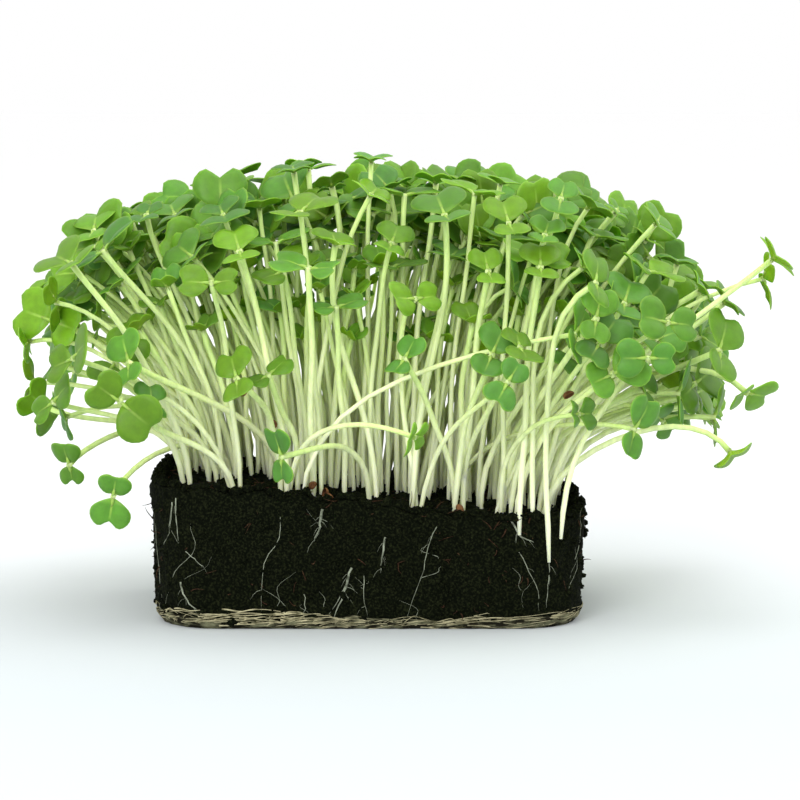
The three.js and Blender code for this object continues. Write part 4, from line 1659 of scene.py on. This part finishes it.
@dataclass(frozen=True)
class LeafFinish(Finish):
    """Fresh seed leaves: blue-green and waxy above, with pale veins. Yellower and lighter below,
    which is partly the leaf's own paler underside and partly painted light that shines through the
    leaf from behind.
    """

    upper_cool: tuple = (0.075, 0.225, 0.026, 1)
    upper_warm: tuple = (0.14, 0.29, 0.008, 1)
    # The lower side's colours: its own paler yellow-green, lightened and yellowed with painted
    # light that shines through the leaf from behind.
    lower_cool_painted_glow: tuple = (0.12, 0.27, 0.008, 1)
    lower_warm_painted_glow: tuple = (0.23, 0.40, 0.010, 1)
    vein: tuple = (0.30, 0.48, 0.07, 1)
    rim: tuple = (0.22, 0.40, 0.04, 1)
    stalk: tuple = (0.32, 0.50, 0.09, 1)

    def build(self, grain: bpy.types.NodeTree) -> bpy.types.Material:
        """Build the material.

        Args:
            grain: The grain group.

        Returns:
            The material.
        """
        material, tree, shader = self.start()
        across, along, kind, yellow, light = self.own_place(tree)
        is_upper = tree.spread(kind, 1.35, 1.65)
        is_blade = tree.spread(kind, 0.7, 0.9)
        upper = tree.mix(yellow, self.upper_cool, self.upper_warm)
        # The lower side's colour carries painted light shining through the leaf; the upper side
        # keeps its own waxy colour.
        lower = tree.mix(yellow, self.lower_cool_painted_glow, self.lower_warm_painted_glow)
        blade = tree.mix(is_upper, lower, upper)
        from_rib = tree.math("ABSOLUTE", tree.math("SUBTRACT", across, 0.5))
        rib = tree.spread(from_rib, 0.008, 0.035, 0.8, 0)
        fading = tree.spread(along, 0.3, 0.85, 1, 0)
        near_foot = tree.spread(along, 0.0, 0.2, 0.45, 0)
        pale = tree.math("MAXIMUM", tree.math("MULTIPLY", rib, fading), near_foot)
        blade = tree.mix(pale, blade, self.vein)
        out = tree.add("ShaderNodeVectorMath", {"operation": "DISTANCE"},
                       n0=tree.add("ShaderNodeCombineXYZ", n0=across, n1=along).outputs[0],
                       n1=(0.5, 0.5, 0.0))
        edge = tree.spread(out.outputs["Value"], 0.46, 0.5, 0, 0.75)
        blade = tree.mix(edge, blade, self.rim)
        grain_node = self.grain(tree, grain, 420.0, 0.25, 0.0002)
        mottled = tree.spread(grain_node.outputs["Mask"], 0.3, 0.7, 0.86, 1.12)
        shade = tree.math("MULTIPLY", mottled, tree.spread(light, 0, 1, 0.78, 1.2))
        value = tree.add("ShaderNodeHueSaturation", Value=shade, Color=blade)
        colour = tree.mix(is_blade, self.stalk, value.outputs[0])
        tree.tree.links.new(colour, shader.inputs["Base Color"])
        tree.tree.links.new(grain_node.outputs["Normal"], shader.inputs["Normal"])
        gloss = tree.spread(grain_node.outputs["Mask"], 0.3, 0.7, 0.4, 0.55)
        tree.tree.links.new(gloss, shader.inputs["Roughness"])
        self.juicy(shader, 0.35, (0.5, 1.0, 0.12), 0.0012, 0.28)
        return material


@dataclass(frozen=True)
class StemFinish(Finish):
    """Pale, juicy stems that are faintly streaked along and greener at the top. The yellow-green
    of their foot and middle is partly their own colour and partly painted light: the glow of light
    filtered through the crowded stems.
    """

    # foot and middle: the stems' own pale colour, with a yellow-green cast added that paints the
    # light glowing through the crowded stems.
    foot: tuple = (0.87, 0.92, 0.63, 1)
    middle: tuple = (0.77, 0.90, 0.43, 1)
    top: tuple = (0.58, 0.79, 0.25, 1)

    def build(self, grain: bpy.types.NodeTree) -> bpy.types.Material:
        """Build the material.

        Args:
            grain: The grain group.

        Returns:
            The material.
        """
        material, tree, shader = self.start()
        _, along, _, _, light = self.own_place(tree)
        # The foot and middle colours carry a painted glow of light filtered through the crowded
        # stems.
        low = tree.mix(tree.spread(along, 0.05, 0.6), self.foot, self.middle)
        body = tree.mix(tree.spread(along, 0.55, 1.0), low, self.top)
        grain_node = self.grain(tree, grain, 700.0, 0.35, 0.0002, (1, 1, 0.08))
        streak = tree.spread(grain_node.outputs["Mask"], 0.35, 0.65, 0.86, 1.06)
        shade = tree.math("MULTIPLY", streak, tree.spread(light, 0, 1, 0.9, 1.12))
        value = tree.add("ShaderNodeHueSaturation", Value=shade, Color=body)
        tree.tree.links.new(value.outputs[0], shader.inputs["Base Color"])
        tree.tree.links.new(grain_node.outputs["Normal"], shader.inputs["Normal"])
        shader.inputs["Roughness"].default_value = 0.42
        self.juicy(shader, 0.45, (0.9, 1.0, 0.35), 0.0016, 0.4)
        return material


@dataclass(frozen=True)
class EarthFinish(Finish):
    """Compost, fibres, roots, felt and seed coats: two colours in patches over a rough grain."""

    dark: tuple = (0.0012, 0.0022, 0.0004, 1)
    light: tuple = (0.019, 0.023, 0.008, 1)
    scale: float = 1700.0
    share: tuple = (0.48, 0.76)
    roughness: float = 0.9
    gloss: float = 0.06
    bump: float = 0.8
    height: float = 0.0006
    stretch: tuple = (1, 1, 1)

    def build(self, grain: bpy.types.NodeTree) -> bpy.types.Material:
        """Build the material.

        Args:
            grain: The grain group.

        Returns:
            The material.
        """
        material, tree, shader = self.start()
        node = self.grain(tree, grain, self.scale, self.bump, self.height, self.stretch)
        mask = tree.spread(node.outputs["Mask"], *self.share)
        tree.tree.links.new(tree.mix(mask, self.dark, self.light), shader.inputs["Base Color"])
        tree.tree.links.new(node.outputs["Normal"], shader.inputs["Normal"])
        shader.inputs["Roughness"].default_value = self.roughness
        shader.inputs["Specular IOR Level"].default_value = self.gloss
        return material


@dataclass(frozen=True)
class Lamp:
    """A soft square lamp: where it stands and its side in metres, and its power in watts."""

    name: str
    place: tuple[float, float, float]
    side: float
    power: float


@dataclass(frozen=True)
class Studio:
    """The pale floor, the soft lights and the camera at the photograph's angle, in metres."""

    lamps: tuple = (
        Lamp("key", (-0.3, -1.1, 0.6), 0.7, 9.5),
        Lamp("top", (0.1, -0.1, 1.2), 0.8, 4.0),
        Lamp("right", (0.8, 0.2, 0.8), 0.8, 3.0),
    )
    lit: tuple = (0, 0, 0.06)
    floor_half: int = 40
    # Where the floor's paint starts and ends to turn from near to far, front to back. Towards the
    # front it is greyer with painted shade over its own faint blue tint; towards the back it is
    # white.
    paint_turns: tuple = (-0.12, 0.6)
    width_at_front: float = 0.2
    distance: float = 0.7
    sensor: float = 36.0
    target: tuple = (0.008, -0.036, 0.0585)
    # The near floor's colour: its own faint blue tint, darkened with painted shade.
    near_floor_tint_and_painted_shade: tuple = (0.58, 0.625, 0.645, 1)
    far_floor: tuple = (1.0, 1.0, 1.0, 1)

    def build(self) -> None:
        """Build the floor, the lights, the world and the camera."""
        self._floor()
        self._world()
        for lamp in self.lamps:
            self._light(lamp)
        self._camera()
        bpy.context.scene.view_settings.view_transform = "Standard"

    def _floor(self) -> None:
        """Build the floor, which isn't part of the object."""
        mesh = bmesh.new()
        bmesh.ops.create_grid(mesh, x_segments=1, y_segments=1, size=self.floor_half)
        data = bpy.data.meshes.new("floor")
        mesh.to_mesh(data)
        mesh.free()
        floor = bpy.data.objects.new("floor", data)
        bpy.context.scene.collection.objects.link(floor)
        material = bpy.data.materials.new("floor_paint")
        material.use_nodes = True
        shader = material.node_tree.nodes["Principled BSDF"]
        tree = Tree(material.node_tree)
        place = tree.add("ShaderNodeTexCoord").outputs["Object"]
        back = tree.add("ShaderNodeSeparateXYZ", n0=place).outputs[1]
        paint = tree.mix(tree.spread(back, *self.paint_turns), self.near_floor_tint_and_painted_shade, self.far_floor)
        tree.tree.links.new(paint, shader.inputs["Base Color"])
        shader.inputs["Roughness"].default_value = 0.8
        data.materials.append(material)
        floor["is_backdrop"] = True

    @staticmethod
    def _world() -> None:
        """Light the scene evenly from all round."""
        world = bpy.data.worlds.new("studio")
        world.use_nodes = True
        sky = world.node_tree.nodes["Background"]
        sky.inputs["Color"].default_value = (1, 1, 1, 1)
        sky.inputs["Strength"].default_value = 1.0
        bpy.context.scene.world = world

    def _light(self, lamp: Lamp) -> None:
        """Add a lamp that looks at the block."""
        data = bpy.data.lights.new(lamp.name, "AREA")
        data.size = lamp.side
        data.energy = lamp.power
        light = bpy.data.objects.new(lamp.name, data)
        light.location = lamp.place
        aim = Vector(self.lit) - Vector(lamp.place)
        light.rotation_euler = aim.to_track_quat("-Z", "Y").to_euler()
        bpy.context.scene.collection.objects.link(light)

    def _camera(self) -> None:
        """Place the camera."""
        data = bpy.data.cameras.new("camera")
        data.sensor_width = self.sensor
        data.lens = self.sensor * self.distance / self.width_at_front
        camera = bpy.data.objects.new("camera", data)
        camera.location = Vector(EYE) * MM
        aim = Vector(self.target) - camera.location
        camera.rotation_euler = aim.to_track_quat("-Z", "Y").to_euler()
        bpy.context.scene.collection.objects.link(camera)
        bpy.context.scene.camera = camera


# How many of each are built or looked for, and the seeds of the pieces' small differences.
CRUMBS, THREADS, HAIR_ROOTS, FIBRES = 2200, 420, 64, 420
BETWEEN_WANTED = 300
BUNCH_SEED, BETWEEN_SEED = 300, 400


def main() -> None:
    """Build the studio and every piece, and report each."""
    Studio().build()
    grain = grain_group()
    leaf = LeafFinish("seed_leaf").build(grain)
    stem = StemFinish("pale_stem").build(grain)
    soil = EarthFinish("damp_compost").build(grain)
    fibre = EarthFinish("peat_fibre", dark=(0.03, 0.014, 0.008, 1), light=(0.12, 0.065, 0.032, 1),
                        roughness=0.7).build(grain)
    roots = EarthFinish("cream_roots", dark=(0.08, 0.09, 0.06, 1), light=(0.31, 0.34, 0.25, 1),
                        scale=500.0, share=(0.35, 0.6), roughness=0.6, gloss=0.3, bump=0.3,
                        height=0.0003).build(grain)
    felt = EarthFinish("root_felt", dark=(0.012, 0.011, 0.006, 1), light=(0.24, 0.24, 0.14, 1),
                       scale=700.0, share=(0.45, 0.68), roughness=0.8, bump=0.6, height=0.0005,
                       stretch=(0.3, 0.3, 1)).build(grain)
    threads = EarthFinish("felt_thread", dark=(0.14, 0.13, 0.065, 1), light=(0.50, 0.46, 0.28, 1),
                          scale=400.0, share=(0.35, 0.6), roughness=0.7, gloss=0.2, bump=0.3,
                          height=0.0003).build(grain)
    coat = EarthFinish("seed_coat", dark=(0.05, 0.018, 0.008, 1), light=(0.24, 0.11, 0.045, 1),
                       scale=500.0, share=(0.35, 0.65), roughness=0.55, bump=0.3,
                       height=0.0002).build(grain)
    shapes = Shapes()
    compost = Compost(shapes, soil, roots, felt, threads, fibre)
    for piece in (compost.block(), compost.crumbs(CRUMBS), compost.mat(),
                  compost.felt_threads(THREADS), compost.single_roots(HAIR_ROOTS),
                  compost.fibres(FIBRES), SeedCoats(coat).build()):
        LOG.info("built %s with %d faces", piece.name, len(piece.data.polygons))
    low, high = (np.array(corner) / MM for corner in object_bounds())
    stand = Stand((low - 1, high + 1))
    stand.fill_between(BETWEEN_WANTED)
    greenery = Greenery(shapes, stem, leaf)
    for number, bunch in enumerate(stand.bunches, 1):
        piece = greenery.piece(f"bunch_{number:02d}", bunch.seedlings, Detail.CLOSE,
                               BUNCH_SEED + number)
        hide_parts(f"seedling_bunch_{number:02d}")
        LOG.info("built %s with %d seedlings", piece.name, len(bunch.seedlings))
    for number, some in enumerate(stand.columns(), 1):
        piece = greenery.piece(f"between_{number:02d}", some, Detail.PLAIN,
                               BETWEEN_SEED + number)
        LOG.info("built %s with %d seedlings", piece.name, len(some))


if __name__ == "__main__":
    logging.basicConfig(level=logging.INFO, format="%(message)s")
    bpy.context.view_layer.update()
    main()
